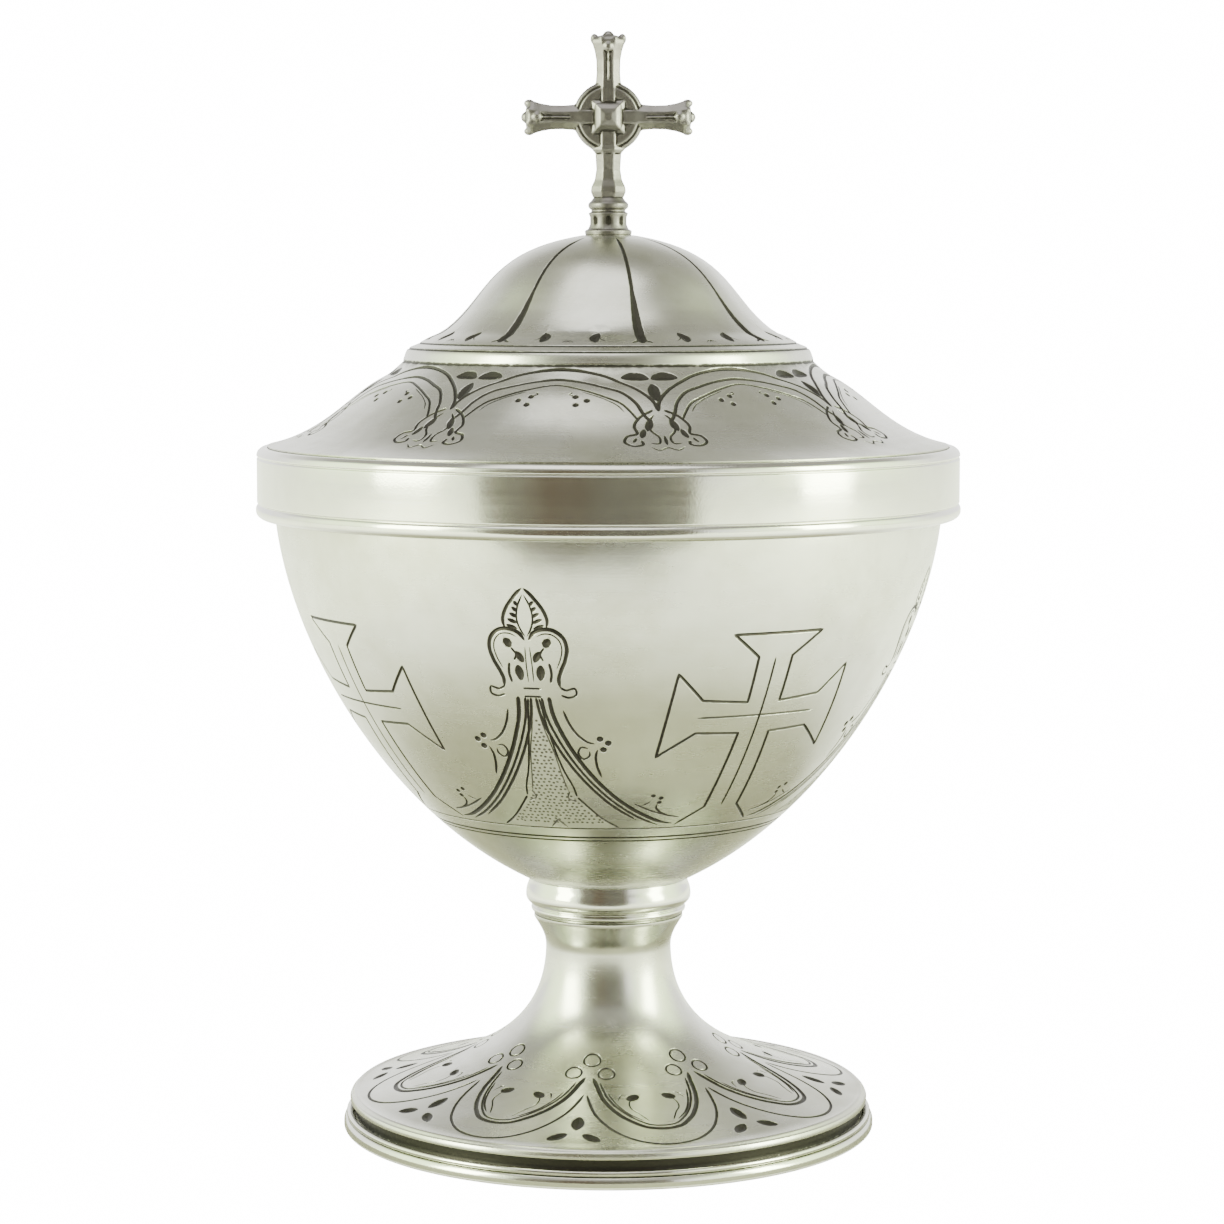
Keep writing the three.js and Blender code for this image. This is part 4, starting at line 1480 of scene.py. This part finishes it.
def soft_light(name, place, size, power, tint):
    """A rectangular light that faces the vessel."""
    data = bpy.data.lights.new(name, "AREA")
    data.shape = "RECTANGLE"
    data.size, data.size_y = size
    data.energy = power
    data.color = tint
    light = bpy.data.objects.new(name, data)
    light.location = place
    light.rotation_euler = (Vector(LIT_POINT) - Vector(place)).to_track_quat("-Z", "Y").to_euler()
    bpy.context.scene.collection.objects.link(light)


def sky_light():
    """Very soft light from above, which the silver doesn't mirror."""
    data = bpy.data.lights.new("sky", "SUN")
    data.energy = 4.4
    data.angle = math.radians(110)
    light = bpy.data.objects.new("sky", data)
    light.rotation_euler = (math.radians(-12), math.radians(8), 0)
    light.visible_glossy = False
    bpy.context.scene.collection.objects.link(light)


def painted_shadow_pool():
    """A painted pool of shadow close round the foot, dark and mottled near it and pale card further out,
    which the bowl's lower side and the stem mirror.
    """
    bm = bmesh.new()
    bmesh.ops.create_circle(bm, cap_ends=True, segments=96, radius=SHADOW_POOL_RADIUS)
    n = Nodes(bpy.data.materials.new("painted_shadow_pool"))
    # Painted shadow: olive-grey mottling out to 0.09 m from the axis, fading to pale card by 0.155 m.
    mottled = n.span(n.noise(11, 3), 0.35, 0.65)
    tone = n.blend(mottled, (0.22, 0.21, 0.15, 1), (0.38, 0.375, 0.29, 1))
    away = n.new("ShaderNodeVectorMath", operation="LENGTH")
    n.wire(n.where, away.inputs[0])
    tone = n.blend(n.span(away.outputs["Value"], 0.09, 0.155), tone, (0.87, 0.87, 0.83, 1))
    mesh = mesh_of(bm, "painted_shadow_pool", n.finish(tone, 0.0, 0.9))
    stage_sheet("painted_shadow_pool", mesh, SHADOW_POOL_HEIGHT, ALL_BUT_REFLECTIONS)


def white_cove():
    """The burnt-out white paper round and under the vessel, which only the camera sees."""
    bm = bmesh.new()
    bmesh.ops.create_uvsphere(bm, u_segments=64, v_segments=32, radius=COVE_RADIUS)
    n = Nodes(bpy.data.materials.new("white_cove"))
    n.finish((0, 0, 0, 1), 0.0, 1.0)
    n.shader.inputs["Emission Color"].default_value = (1, 1, 1, 1)
    n.shader.inputs["Emission Strength"].default_value = COVE_GLOW
    mesh = mesh_of(bm, "white_cove", n.owner)
    stage_sheet("white_cove", mesh, 0, ["glossy", "diffuse", "transmission", "shadow"])


def dark_flag_and_shadow():
    """The dark cloth behind the photographer, and on the floor before it a painted shadow of the
    photographer that widens away from the vessel: only the silver's reflections see them.
    """
    near, middle, far, high = -0.25, -0.40, -0.64, 0.55
    # The first three rows lie on the floor as the painted shadow; the last stands the cloth up behind it.
    rows = [(near, 0.001, -0.10, 0.05), (middle, 0.001, -0.30, 0.18),
            (far, 0.001, -0.55, 0.33), (far, high, -0.55, 0.33)]
    bm = bmesh.new()
    edges = [[bm.verts.new((x, y, z)) for x in (left, right)] for y, z, left, right in rows]
    for low, up in zip(edges, edges[1:]):
        bm.faces.new((low[0], low[1], up[1], up[0]))
    n = Nodes(bpy.data.materials.new("dark_cloth_and_shadow"))
    streaks = n.noise(7, 3, 0.6, where=n.stretched((1, 0.1, 0.1)))
    tone = n.blend(n.span(streaks, 0.35, 0.65), (0.038, 0.022, 0.016, 1), (0.055, 0.050, 0.048, 1))
    mesh = mesh_of(bm, "dark_flag_and_shadow", n.finish(tone, 0.0, 0.9))
    stage_sheet("dark_flag_and_shadow", mesh, 0, ALL_BUT_REFLECTIONS)


def pale_room():
    """What the silver reflects: pale tinted screens left and right, a duller ceiling, and a dark gap
    round the photographer, wider on the left."""
    wall, ceiling, overhead = (3.0, 3.0, 2.98, 1), (0.85, 0.84, 0.77, 1), (0.42, 0.405, 0.37, 1)
    screen = (4.7, 5.6, 3.5, 1)
    gloom, lighter_gloom = (0.105, 0.085, 0.075, 1), (0.22, 0.205, 0.19, 1)
    degree = math.pi / 180
    n = Nodes(bpy.data.worlds.new("pale_room"), "Background", "Generated")
    split = n.new("ShaderNodeSeparateXYZ")
    n.wire(n.where, split.inputs[0])
    right, away, up = split.outputs
    bearing = n.math("ARCTAN2", right, n.times(away, -1.0))
    swing = n.math("ABSOLUTE", bearing)

    def between(value, low, high, soft):
        return n.times(n.span(value, low - soft, low + soft), n.span(value, high + soft, high - soft))

    room = n.blend(n.span(up, 0.30, 0.62), wall, ceiling)
    room = n.blend(n.span(up, 0.80, 0.98), room, overhead)
    on_screens = n.times(between(swing, 48 * degree, 116 * degree, 13 * degree),
                         between(up, -0.2, 0.66, 0.1))
    room = n.blend(on_screens, room, screen)
    in_gap = n.times(between(bearing, -42 * degree, 29 * degree, 5 * degree),
                     between(up, -0.2, 0.60, 0.12))
    streaks = n.noise(3.2, 3, 0.6, where=n.stretched((1.0, 1.0, 0.15)))
    dark = n.blend(n.span(streaks, 0.35, 0.65), gloom, lighter_gloom)
    n.wire(n.blend(in_gap, room, dark), n.shader.inputs["Color"])
    n.shader.inputs["Strength"].default_value = 1.0
    bpy.context.scene.world = n.owner


foot_shell()
foot_mouldings()
collar()
bowl_shell()
bowl_lining()
lid_shell()
lid_band()
pedestal()
cast_cross()
fixings()
stage_floor()
camera()
pale_room()
soft_light("left_window", (-0.9, -0.40, 0.42), (0.4, 0.7), 20, (0.95, 1.0, 0.77))
soft_light("right_window", (0.95, -0.30, 0.38), (0.35, 0.7), 19, (0.94, 1.0, 0.76))
soft_light("overhead", (-0.1, -0.2, 1.3), (0.9, 0.9), 8, (1, 1, 1))
sky_light()
dark_flag_and_shadow()
painted_shadow_pool()
white_cove()
